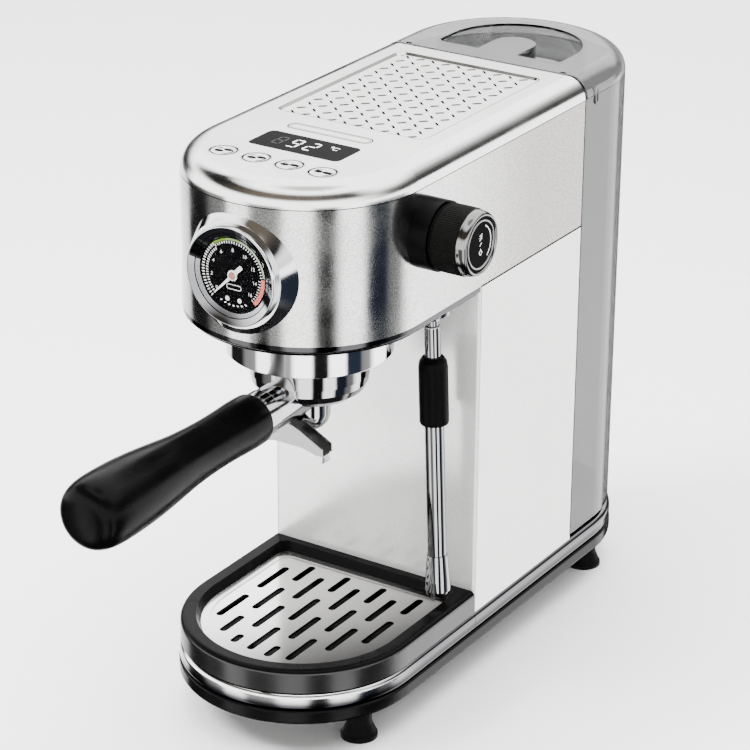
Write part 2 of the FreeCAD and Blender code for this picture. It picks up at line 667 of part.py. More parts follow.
def shower_screen():
    """Perforated screen that spreads the water, held by a centre screw."""
    screen = rod("z", (0, 0), 26.4, 225.2, 226.2)
    holes = [rod("z", (r * math.cos(2 * math.pi * i / n), r * math.sin(2 * math.pi * i / n)),
                 0.8, 220, 230) for r, n in ((10, 8), (15.5, 12), (21, 18)) for i in range(n)]
    screen = screen.cut(Part.makeCompound(holes))
    screw = join(rod("z", (0, 0), 4.0, 223.4, 225.3), rod("z", (0, 0), 2.4, 225, 227.4))
    return join(screen, screw)


# ---------------------------------------------------------------- portafilter
NECK_R = 12.3
CHUTE_Y = -16.4
CHUTE_HALF = 5.2


def portafilter_body():
    """Bowl with three bayonet lugs and a neck for the handle."""
    profile = [(21.0, BOWL_Z), (26.6, BOWL_Z + 1.4), (30.6, BOWL_Z + 4.6), (32.5, BOWL_Z + 8.6),
               (BOWL_R, BOWL_Z + 13), (BOWL_R, 222.8)]
    bowl = turned(profile)
    neck = rod("y", (0, HANDLE_Z), NECK_R, -45.0, -14)
    lugs = [sector(BOWL_R - 1, 39.0, middle - 12, middle + 12, LUG_Z, LUG_Z + LUG_T)
            for middle in (90, 210, 330)]
    body = join(bowl, neck, *lugs)
    room = turned([(22.0, BOWL_Z + 4.5), (29.6, BOWL_Z + 10.5), (29.6, 219.9), (31.8, 219.9),
                   (31.8, 230)])
    body = body.cut(room)
    body = body.cut(rod("y", (0, HANDLE_Z), 3.4, -50, -33.6))
    return body.cut(rod("z", (0, 0), 4.0, BOWL_Z - 10, BOWL_Z + 10))


def filter_basket():
    """Perforated steel cup for the ground coffee."""
    cup = join(rod("z", (0, 0), 29.2, 199.4, 221.4), rod("z", (0, 0), 31.5, 220.1, 221.4))
    cup = cup.cut(rod("z", (0, 0), 28.5, 200.2, 230))
    holes = [rod("z", (r * math.cos(2 * math.pi * i / n), r * math.sin(2 * math.pi * i / n)),
                 0.7, 190, 210) for r, n in ((6, 6), (12, 12), (18, 18)) for i in range(n)]
    return cup.cut(Part.makeCompound(holes))


def handle_collar():
    """Chrome ferrule, with a stud each way that screws into the neck and the handle."""
    ring = rod("y", (0, HANDLE_Z), 12.9, -HANDLE_START, -45.1)
    ring = soften(ring, 0.6, lambda e: abs(e.BoundBox.YMin + 45.1) < 0.01)
    return join(ring, rod("y", (0, HANDLE_Z), 3.3, -120.0, -33.8))


def handle():
    """Swelling grip with a softly domed end."""
    profile = [(13.4, -55.1), (14.3, -56.3), (14.5, -64), (14.2, -76), (13.9, -90), (14.2, -104),
               (15.2, -119), (16.7, -133), (18.3, -148), (19.4, -163), (19.8, -177), (19.7, -187),
               (18.9, -193), (17.2, -197.4), (14.2, -200.4), (9.0, -202.3), (4.0, -202.9),
               (0.0, -HANDLE_END)]
    curve = Part.BSplineCurve()
    curve.interpolate([V(r, y, 0) for r, y in profile[1:-1]])
    rim = Part.makeLine(V(profile[0][0], profile[0][1], 0), V(profile[1][0], profile[1][1], 0))
    tail = Part.makeLine(V(profile[-2][0], profile[-2][1], 0), V(0, -HANDLE_END, 0))
    axis = Part.makeLine(V(0, -HANDLE_END, 0), V(0, profile[0][1], 0))
    front = Part.makeLine(V(0, profile[0][1], 0), V(profile[0][0], profile[0][1], 0))
    face = Part.Face(Part.Wire([front, rim, curve.toShape(), tail, axis]))
    grip = face.revolve(V(0, 0, 0), V(0, 1, 0), 360)
    grip.translate(V(0, 0, HANDLE_Z))
    return grip.cut(rod("y", (0, HANDLE_Z), 3.32, -120.1, 0))


def outlet_boss():
    """Domed nut under the bowl, drilled through to the twin spout in front of it."""
    boss = join(rod("z", (0, 0), 11.4, 175.9, BOWL_Z - 0.05),
                Part.makeSphere(11.4, V(0, 0, 175.9)))
    boss = boss.cut(rod("z", (0, 0), 3.9, 174, BOWL_Z + 5))
    return boss.cut(rod("y", (0, 176.5), 3.0, -20, 0))


def twin_spout():
    """Open trough that falls away to both sides and ends in two pointed lips."""
    y0, y1 = CHUTE_Y - CHUTE_HALF, CHUTE_Y + CHUTE_HALF
    right = [(0, 163.4), (9.0, 163.4), (19.6, 160.6), (21.4, 156.0), (22.3, 157.2),
             (22.0, 165.4), (8.8, 172.4), (3.0, 175.0), (0, 175.4)]
    left = [(-x, z) for x, z in reversed(right[1:-1])]
    outline = [V(x, y0, z) for x, z in right + left]
    solid = Part.Face(Part.makePolygon(outline + [outline[0]])).extrude(V(0, y1 - y0, 0))
    trough_right = [(0, 169.0), (9.0, 166.6), (21.6, 160.4), (24.0, 150.0), (30.0, 150.0),
                    (30.0, 190.0), (0, 190.0)]
    trough_left = [(-x, z) for x, z in reversed(trough_right[1:-1])]
    line = [V(x, y0 + 0.9, z) for x, z in trough_right + trough_left]
    trough = Part.Face(Part.makePolygon(line + [line[0]])).extrude(V(0, y1 - y0 - 1.8, 0))
    spout = solid.cut(trough)
    for side in (-1, 1):
        for edge_y, way in ((y0, -1), (y1, 1)):
            corner = [V(side * 18.5, edge_y + way, 161.3), V(side * 24, edge_y + way, 161.3),
                      V(side * 24, edge_y + way, 150), V(side * 18.5, edge_y + way, 150)]
            cutter = Part.Face(Part.makePolygon(corner + [corner[0]])).extrude(V(0, -way * 5.0, 0))
            cutter.rotate(V(side * 20, edge_y, 161.3), V(1, 0, 0), way * 32)
            spout = spout.cut(cutter)
    inlet = rod("y", (0, 176.5), 2.9, CHUTE_Y + 3, CHUTE_Y + 8)
    return spout.cut(inlet).cut(rod("z", (0, 0), 11.5, 150, BOWL_Z))


# ---------------------------------------------------------------- reservoir
WALL = 2.2
LID_Z = 318.0
WELL_R = 40.5
WELL_FRONT = 195.0
WELL_BACK = 214.0
TONGUE_R = 13.0
EAR_X0 = 50.2
EAR_X1 = 53.2


def tank():
    """Clear tank with a spigot hole, hinge ears for the lid and two side catches."""
    outer = rear_arch(HALF_W, TANK_Y + 0.4, REAR_Y, TANK_FLOOR, LID_Z - 0.4)
    outer = soften(outer, 1.5, level(TANK_FLOOR, TANK_Y + 0.4))
    inner = rear_arch(HALF_W - WALL, TANK_Y + 0.4 + WALL, REAR_Y, TANK_FLOOR + 3, 400)
    body = outer.cut(inner).cut(rod("z", (0, SEAT_Y), 5.0, 0, 60))
    parts = []
    for side in (-1, 1):
        ear = join(box(EAR_X0, EAR_X1, TANK_Y + 0.5, HINGE_Y + 1.8, LID_Z - 2, HINGE_Z),
                   rod("x", (HINGE_Y, HINGE_Z), 1.8, EAR_X0, EAR_X1))
        ear = ear.cut(rod("x", (HINGE_Y, HINGE_Z), 1.05, 40, 60))
        catch = rounded_catch()
        if side < 0:
            ear = ear.mirror(V(0, 0, 0), V(1, 0, 0))
            catch = catch.mirror(V(0, 0, 0), V(1, 0, 0))
        parts += [ear, catch]
    return join(body, *parts)


def rounded_catch():
    """Oval spring catch on the side of the tank that reaches up past the lid's seam."""
    plate = rounded_plate(188.3, 192.7, 312.0, 323.4, 2.19, 0, 0.8)
    plate = plate.cut(rounded_plate(189.6, 191.4, 313.4, 322.0, 0.89, -1, 2))
    matrix = FreeCAD.Matrix(0, 0, 1, HALF_W, 1, 0, 0, 0, 0, 1, 0, 0, 0, 0, 0, 1)
    plate = plate.transformGeometry(matrix)
    plate = join(plate, box(HALF_W - 0.5, HALF_W + 0.3, 188.9, 192.1, 312.6, 316.6))
    return plate.cut(box(HALF_W - 1, HALF_W + 0.15, 180, 200, LID_Z - 0.5, 330))


def well_outline(grow, z0, z1):
    """D-shaped finger well of the lid, grown outwards by a margin."""
    solid = rear_arch(WELL_R + grow, WELL_FRONT - grow, WELL_BACK, z0, z1)
    front = WELL_FRONT - grow
    return soften(solid, 5.0, lambda e: (e.BoundBox.XLength < 0.01 and e.BoundBox.YLength < 0.01
                                         and abs(e.BoundBox.YMin - front) < 0.01))


def tank_lid():
    """Clear lid with a raised rounded edge and a finger well round a tongue."""
    outer = rear_arch(HALF_W, TANK_Y + 0.5, REAR_Y, LID_Z, TOP_Z)
    outer = soften(outer, 11.8, level(TOP_Z, TANK_Y + 0.5))
    nose = [e for e in outer.Edges if level(TOP_Z)(e) and e.BoundBox.YLength < 0.01]
    outer = outer.makeFillet(1.88, nose)
    inner = rear_arch(HALF_W - 2, TANK_Y + 2.5, REAR_Y, LID_Z - 1, TOP_Z - 2)
    inner = soften(inner, 9.8, level(TOP_Z - 2, TANK_Y + 2.5))
    lid = outer.cut(inner)
    cup = well_outline(1.8, LID_Z + 0.2, TOP_Z - 0.5)
    tongue = rear_arch(TONGUE_R, WELL_FRONT - 4, WELL_BACK, LID_Z + 2, TOP_Z + 1)
    under = rear_arch(TONGUE_R - 2, WELL_FRONT - 1, WELL_BACK, LID_Z - 1, TOP_Z - 2)
    well = well_outline(0, LID_Z + 2, TOP_Z + 2).cut(tongue)
    lid = join(lid, cup).cut(well).cut(under)
    blocks = [box(x0, x1, TANK_Y + 2, HINGE_Y + 3, HINGE_Z - 2.4, TOP_Z - 1)
              for x0, x1 in ((45.5, EAR_X0 - 0.3), (EAR_X1 + 0.3, 56.5))]
    blocks += [b.mirror(V(0, 0, 0), V(1, 0, 0)) for b in blocks]
    lid = join(lid, *blocks)
    for side in (-1, 1):
        x0, x1 = sorted((side * (EAR_X0 - 0.3), side * (EAR_X1 + 0.3)))
        lid = lid.cut(box(x0, x1, TANK_Y, HINGE_Y + 2.3, LID_Z - 1, TOP_Z + 1))
    return lid.cut(rod("x", (HINGE_Y, HINGE_Z), 1.02, -56, 56))


def lid_pins():
    pin = rod("x", (HINGE_Y, HINGE_Z), 1.0, 46.2, 55.8)
    return both_sides(pin)


def tank_valve():
    """Outlet valve screwed through the tank floor; its spigot plugs into the seat."""
    spigot = rod("z", (0, SEAT_Y), 6.05, 34.4, TANK_FLOOR)
    spigot = soften(spigot, 1.0, level(34.4))
    valve = join(spigot, rod("z", (0, SEAT_Y), 4.9, 41, 46),
                 rod("z", (0, SEAT_Y), 9.0, TANK_FLOOR + 3, TANK_FLOOR + 6))
    return valve.cut(rod("z", (0, SEAT_Y), 2.8, 30, 60))


# ---------------------------------------------------------------- works inside
def thermoblock():
    """Finned aluminium heating block on the shelf."""
    block = box(-38, 30, 40, 112, 247.5, 276)
    fins = [box(-38, 30, 44 + i * 8, 46.5 + i * 8, 275.5, 281) for i in range(9)]
    lugs = [rod("z", (x, y), 4, HEAD_Z + 3.3, 248) for x in (-30, 22) for y in (48, 104)]
    return join(block, *(fins + lugs))


def pump():
    """Vibration pump standing in the column: coil housing with an inlet and an outlet end."""
    coil = rounded_plate(-24, 24, 106, 150, 3, 120, 172)
    ends = join(rod("z", (0, 128), 11, 96, 196), rod("z", (0, 128), 4.5, 84, 208))
    return join(coil, ends)


def pump_mounts():
    """Rubber blocks that hold the pump off the frame."""
    blocks = []
    for z in (104, 180):
        block = box(-16, 16, 114, 169.9, z, z + 10)
        blocks.append(block.cut(rod("z", (0, 128), 11.05, 90, 210)))
    return Part.makeCompound(blocks)


def water_hoses():
    """Silicone hose from the reservoir seat, under the deck, up to the pump."""
    return bent_tube([(0, SEAT_Y, 30.9), (0, SEAT_Y, 26.6), (0, 128, 26.6), (0, 128, 83.9)],
                     2.6, 3.6)


def pressure_pipes():
    """Pipes from the pump to the heater and on to the group, steam valve and wand."""
    runs = [
        [(0, 128, 208.2), (0, 128, 262), (0, 112.2, 262)],
        [(0, 39.8, 262), (0, 0, 262), (0, 0, 250.2)],
        [(20, 39.8, 268), (20, 32, 268), (20, 32, KNOB_Z), (42, 32, KNOB_Z), (42, 27.2, KNOB_Z)],
        [(42, KNOB_Y, 273.3), (42, KNOB_Y, 262), (WAND_X, WAND_Y, 262), (WAND_X, WAND_Y, 252.2)],
        [(-10, 39.8, 262), (-10, -24, 262), (0, -24, GAUGE_Z), (0, -37.8, GAUGE_Z)],
    ]
    return Part.makeCompound([bent_tube(run, 2.0, 3.5) for run in runs])


# ---------------------------------------------------------------- write the parts
def parts():
    """Every sub-part by name."""
    made = {
        "base_pan": base_pan(), "base_trim_front": base_trim(True),
        "base_trim_rear": base_trim(False), "base_deck": base_deck(), "rubber_feet": feet(),
        "tank_seat": tank_seat(), "cord_gland": cord_gland(),
        "drip_tray": drip_tray(), "drip_grid": drip_grid(),
        "column_shell": column_shell(), "head_shell": head_shell(), "top_cover": top_cover(),
        "cup_warmer": cup_warmer(), "head_underside": head_underside(), "head_rim": head_rim(),
        "bay_wall": bay_wall(), "chassis_frame": chassis_frame(),
        "display_window": display_window(), "button_board": button_board(),
        "control_board": control_board(),
        "gauge_flange": gauge_flange(), "gauge_bezel": gauge_bezel(), "gauge_lens": gauge_lens(),
        "gauge_case": gauge_case(), "gauge_dial": gauge_dial(), "gauge_needle": gauge_needle(),
        "knob_collar": knob_collar(), "steam_knob": steam_knob(), "knob_ring": knob_ring(),
        "knob_face": knob_face(), "valve_stem": valve_stem(), "steam_valve": steam_valve(),
        "wand_socket": wand_socket(), "wand_swivel": wand_swivel(), "steam_wand": steam_wand(),
        "wand_grip": wand_grip(), "froth_sleeve": froth_sleeve(),
        "group_collar": group_collar(), "group_head": group_head(),
        "group_gasket": group_gasket(), "shower_screen": shower_screen(),
        "portafilter_body": portafilter_body(), "filter_basket": filter_basket(),
        "handle_collar": handle_collar(), "handle": handle(), "outlet_boss": outlet_boss(),
        "twin_spout": twin_spout(),
        "tank": tank(), "tank_lid": tank_lid(), "lid_pins": lid_pins(), "tank_valve": tank_valve(),
        "thermoblock": thermoblock(), "pump": pump(), "pump_mounts": pump_mounts(),
        "water_hoses": water_hoses(), "pressure_pipes": pressure_pipes(),
    }
    for number, x in enumerate(BUTTON_X, 1):
        made["button_%d" % number] = button(x)
    return made


for name, shape in parts().items():
    shape.translate(V(0, 0, 0) - ORIGIN)
    if not shape.isValid():
        print("not valid:", name)
    shape.exportStep("parts/%s.step" % name)
    size = shape.BoundBox
    print("%-18s solids %2d  volume %9.0f  x %7.1f %7.1f  y %7.1f %7.1f  z %6.1f %6.1f" % (
        name, len(shape.Solids), shape.Volume, size.XMin, size.XMax, size.YMin, size.YMax,
        size.ZMin, size.ZMax))
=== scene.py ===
import math

import bmesh
import bpy
from mathutils import Matrix, Vector


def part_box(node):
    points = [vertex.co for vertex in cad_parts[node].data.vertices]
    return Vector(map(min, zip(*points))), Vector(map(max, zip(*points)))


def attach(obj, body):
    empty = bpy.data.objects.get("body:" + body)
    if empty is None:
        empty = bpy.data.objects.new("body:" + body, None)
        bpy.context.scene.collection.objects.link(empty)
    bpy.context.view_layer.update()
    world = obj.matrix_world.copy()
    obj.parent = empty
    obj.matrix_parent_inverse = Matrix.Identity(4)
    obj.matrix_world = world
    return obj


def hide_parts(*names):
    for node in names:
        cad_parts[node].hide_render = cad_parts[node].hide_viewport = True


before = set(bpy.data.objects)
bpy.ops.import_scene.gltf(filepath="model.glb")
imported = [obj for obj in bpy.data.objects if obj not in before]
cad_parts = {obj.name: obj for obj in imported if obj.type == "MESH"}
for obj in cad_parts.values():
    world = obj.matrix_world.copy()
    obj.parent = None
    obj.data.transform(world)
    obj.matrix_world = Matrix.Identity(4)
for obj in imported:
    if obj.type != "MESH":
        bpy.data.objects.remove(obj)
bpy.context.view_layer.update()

# Looks of a slim pump espresso machine: materials, printed marks, finer turned pieces and a
# studio. Lengths are millimetres from the brewing axis and the floor, turned into metres by at().
# The front is -Y and the right side, with the steam knob, is +X.

MM = 0.001

# ------------------------------------------------------------------ places
collar_lo, collar_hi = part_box("group_collar")
AXIS_X = (collar_lo.x + collar_hi.x) / 2
AXIS_Y = (collar_lo.y + collar_hi.y) / 2


def at(x, y, z):
    """A point given in millimetres from the brewing axis and the floor."""
    return Vector((AXIS_X + x * MM, AXIS_Y + y * MM, z * MM))


def in_mm(point):
    """Millimetres from the brewing axis and the floor, to a tenth."""
    return tuple(round(c, 1) for c in (point - at(0, 0, 0)) / MM)


def lowest(name):
    """Lowest corner of a CAD node's box."""
    return in_mm(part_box(name)[0])


def highest(name):
    """Highest corner of a CAD node's box."""
    return in_mm(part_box(name)[1])


def middle(name):
    """Middle of a CAD node's box."""
    lo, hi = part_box(name)
    return in_mm((lo + hi) / 2)


HALF_W, TANK_Y, TOP_Z = highest("top_cover")   # half width, front of the reservoir, top
COVER_SEAM_Z = (lowest("top_cover")[2] + highest("head_shell")[2]) / 2
COLUMN_SEAM_Z = (lowest("head_shell")[2] + highest("column_shell")[2]) / 2
DECK_SEAM_Z = 42.5       # where the reservoir's seam ends above the base
EDGE_R = 12.4            # rounding of the cover's edges
GAUGE_Z = middle("gauge_bezel")[2]
DIAL_Y = lowest("gauge_dial")[1]               # printed face of the dial
KNOB_Y, KNOB_Z = middle("knob_ring")[1:]
KNOB_FACE_X = highest("knob_face")[0]
HANDLE_Z = middle("handle")[2]
TRAY_CENTRE_Y = 20.0
BADGE_Y = 20.0
DISPLAY_Y = -4.2         # middle line of the figures

WARMER_COLUMNS, WARMER_ROWS = 10, 15
WARMER_X0, WARMER_Y0 = -39.375, 42.3           # first mark of the cup warmer's pattern
WARMER_PITCH_X, WARMER_PITCH_Y = 8.55, 8.45
WARMER_FLOOR = -1.3      # its depth below the top
WARMER_HALF_W, WARMER_FRONT, WARMER_REAR = 47.4, 37.7, 164.8
WARMER_CORNER = 4.8      # rounding of its outline

PRINT = 0.12             # thickness of printed marks
DIAL_SCALE = 0.965       # of the dial's print, which is drawn for a radius of 22
SPECKLE_SCALE = 1300     # dots of the bead-blasted finish
SMOKE_DENSITY = 60       # absorption of the smoke plastic, per metre


# ------------------------------------------------------------------ materials
def material(name):
    """New material with its node tree and its main shader."""
    mat = bpy.data.materials.new(name)
    mat.use_nodes = True
    tree = mat.node_tree
    return mat, tree, tree.nodes["Principled BSDF"]


def coords(tree, scale=(1, 1, 1)):
    """Object coordinates, scaled."""
    source = tree.nodes.new("ShaderNodeTexCoord")
    mapping = tree.nodes.new("ShaderNodeMapping")
    mapping.inputs["Scale"].default_value = scale
    tree.links.new(source.outputs["Object"], mapping.inputs["Vector"])
    return mapping.outputs["Vector"]


def noise(tree, vector, scale, detail=3.0, rough=0.55):
    """Noise value from 0 to 1."""
    tex = tree.nodes.new("ShaderNodeTexNoise")
    tex.inputs["Scale"].default_value = scale
    tex.inputs["Detail"].default_value = detail
    tex.inputs["Roughness"].default_value = rough
    tree.links.new(vector, tex.inputs["Vector"])
    return tex.outputs["Fac"]


def spread(tree, value, low, high, start=0.35, end=0.65):
    """Noise value mapped to a range."""
    ramp = tree.nodes.new("ShaderNodeMapRange")
    ramp.inputs["From Min"].default_value = start
    ramp.inputs["From Max"].default_value = end
    ramp.inputs["To Min"].default_value = low
    ramp.inputs["To Max"].default_value = high
    tree.links.new(value, ramp.inputs["Value"])
    return ramp.outputs["Result"]


def tint(tree, value, dark, light):
    """Noise value mapped to a colour between two."""
    ramp = tree.nodes.new("ShaderNodeValToRGB")
    ramp.color_ramp.elements[0].color = (*dark, 1)
    ramp.color_ramp.elements[1].color = (*light, 1)
    ramp.color_ramp.elements[0].position = 0.3
    ramp.color_ramp.elements[1].position = 0.7
    tree.links.new(value, ramp.inputs["Fac"])
    return ramp.outputs["Color"]


def bump(tree, bsdf, height, strength, distance=0.0002):
    """Fine relief on the surface."""
    made = tree.nodes.new("ShaderNodeBump")
    made.inputs["Strength"].default_value = strength
    made.inputs["Distance"].default_value = distance
    tree.links.new(height, made.inputs["Height"])
    tree.links.new(made.outputs["Normal"], bsdf.inputs["Normal"])


def horizontal_tangent(tree, bsdf):
    """Brushing that runs level round upright faces."""
    geometry = tree.nodes.new("ShaderNodeNewGeometry")
    cross = tree.nodes.new("ShaderNodeVectorMath")
    cross.operation = "CROSS_PRODUCT"
    cross.inputs[0].default_value = (0.0, 0.003, 1.0)
    tree.links.new(geometry.outputs["Normal"], cross.inputs[1])
    tree.links.new(cross.outputs["Vector"], bsdf.inputs["Tangent"])


def multiply(tree, a, b):
    """Product of two colours."""
    made = tree.nodes.new("ShaderNodeMix")
    made.data_type = "RGBA"
    made.blend_type = "MULTIPLY"
    made.inputs["Factor"].default_value = 1.0
    tree.links.new(a, made.inputs[6])
    tree.links.new(b, made.inputs[7])
    return made.outputs[2]


def between(tree, start, end, color, far_color):
    """Colour ramp from one place on the object to another; every use of it here paints shade."""
    way = end - start
    source = tree.nodes.new("ShaderNodeTexCoord")
    offset = tree.nodes.new("ShaderNodeVectorMath")
    offset.operation = "SUBTRACT"
    offset.inputs[1].default_value = start
    tree.links.new(source.outputs["Object"], offset.inputs[0])
    along = tree.nodes.new("ShaderNodeVectorMath")
    along.operation = "DOT_PRODUCT"
    along.inputs[1].default_value = way / way.length_squared
    tree.links.new(offset.outputs["Vector"], along.inputs[0])
    blend = tree.nodes.new("ShaderNodeValToRGB")
    blend.color_ramp.interpolation = "EASE"
    blend.color_ramp.elements[0].color = (*color, 1)
    blend.color_ramp.elements[1].color = (*far_color, 1)
    tree.links.new(along.outputs["Value"], blend.inputs["Fac"])
    return blend.outputs["Color"]


def speckled(tree, depth):
    """Fine even speckle of bead-blasted metal."""
    low = 1 - depth
    dots = noise(tree, coords(tree), SPECKLE_SCALE, 1.0, 0.4)
    return tint(tree, dots, (low, low * 0.995, low * 0.985), (1.0, 1.0, 1.0))


def metal(name, color, rough, grain=(1, 1, 1), grain_scale=900, grain_bump=0.04,
          aniso=0.0, smudge=0.05, variation=0.04, speckle=0.0, painted_shade_ramp=None,
          purity=1.0):
    """Metal with a directional grain, faint smudges, a slight colour variation and an optional
    painted shade ramp.
    """
    mat, tree, bsdf = material(name)
    bsdf.inputs["Metallic"].default_value = purity
    dark = tuple(c * (1 - variation) for c in color)
    fine = noise(tree, coords(tree, grain), grain_scale, 2.0)
    soft = noise(tree, coords(tree), 22.0, 3.0)
    shade = tint(tree, fine, dark, color)
    if speckle:
        shade = multiply(tree, shade, speckled(tree, speckle))
    # Painted shade: the colour darkens from one place on the part to another.
    if painted_shade_ramp:
        shade = multiply(tree, shade, between(tree, *painted_shade_ramp))
    tree.links.new(shade, bsdf.inputs["Base Color"])
    tree.links.new(spread(tree, soft, max(0.02, rough - smudge), rough + smudge),
                   bsdf.inputs["Roughness"])
    if aniso:
        bsdf.inputs["Anisotropic"].default_value = aniso
        horizontal_tangent(tree, bsdf)
    if grain_bump:
        bump(tree, bsdf, fine, grain_bump)
    return mat


def plastic(name, color, rough, pores=1400, pore_bump=0.06, variation=0.12, ior=1.45):
    """Moulded plastic or rubber with a fine texture."""
    mat, tree, bsdf = material(name)
    light = tuple(min(1, c * (1 + variation)) for c in color)
    fine = noise(tree, coords(tree), pores, 2.0)
    soft = noise(tree, coords(tree), 30.0, 3.0)
    tree.links.new(tint(tree, soft, color, light), bsdf.inputs["Base Color"])
    tree.links.new(spread(tree, soft, max(0.02, rough - 0.05), rough + 0.05),
                   bsdf.inputs["Roughness"])
    bsdf.inputs["IOR"].default_value = ior
    if pore_bump:
        bump(tree, bsdf, fine, pore_bump)
    return mat


def painted_shade_metal(name, color, far_color, rough, start, end, second=None):
    """Polished metal with painted shade: its colour darkens from one place on it to another,
    standing in for light and reflection.
    """
    mat, tree, bsdf = material(name)
    bsdf.inputs["Metallic"].default_value = 1.0
    blend = between(tree, start, end, color, far_color)
    # A second painted shade ramp, multiplied in.
    if second:
        blend = multiply(tree, blend, between(tree, *second))
    fine = noise(tree, coords(tree, (60, 60, 1)), 60, 2.0)
    grain = tint(tree, fine, (0.93, 0.93, 0.93), (1, 1, 1))
    tree.links.new(multiply(tree, blend, grain), bsdf.inputs["Base Color"])
    soft = noise(tree, coords(tree), 22.0, 3.0)
    tree.links.new(spread(tree, soft, rough - 0.02, rough + 0.03), bsdf.inputs["Roughness"])
    return mat


def smoked(name, color, rough, ior):
    """Tinted clear plastic that also darkens with the length of the light's way through it."""
    mat, tree, bsdf = material(name)
    soft = noise(tree, coords(tree), 18.0, 3.0)
    dark = tuple(c * 0.97 for c in color)
    tree.links.new(tint(tree, soft, dark, color), bsdf.inputs["Base Color"])
    tree.links.new(spread(tree, soft, rough, rough + 0.02), bsdf.inputs["Roughness"])
    bsdf.inputs["Transmission Weight"].default_value = 1.0
    bsdf.inputs["IOR"].default_value = ior
    absorb = tree.nodes.new("ShaderNodeVolumeAbsorption")
    absorb.inputs["Color"].default_value = (0.20, 0.205, 0.21, 1.0)
    absorb.inputs["Density"].default_value = SMOKE_DENSITY
    tree.links.new(absorb.outputs["Volume"], tree.nodes["Material Output"].inputs["Volume"])
    return mat


def pane(name, color, alpha, ior):
    """Thin clear pane that lets what is behind it show straight through."""
    mat, tree, bsdf = material(name)
    soft = noise(tree, coords(tree), 18.0, 3.0)
    dark = tuple(c * 0.96 for c in color)
    tree.links.new(tint(tree, soft, dark, color), bsdf.inputs["Base Color"])
    tree.links.new(spread(tree, soft, 0.02, 0.04), bsdf.inputs["Roughness"])
    bsdf.inputs["Alpha"].default_value = alpha
    bsdf.inputs["IOR"].default_value = ior
    return mat


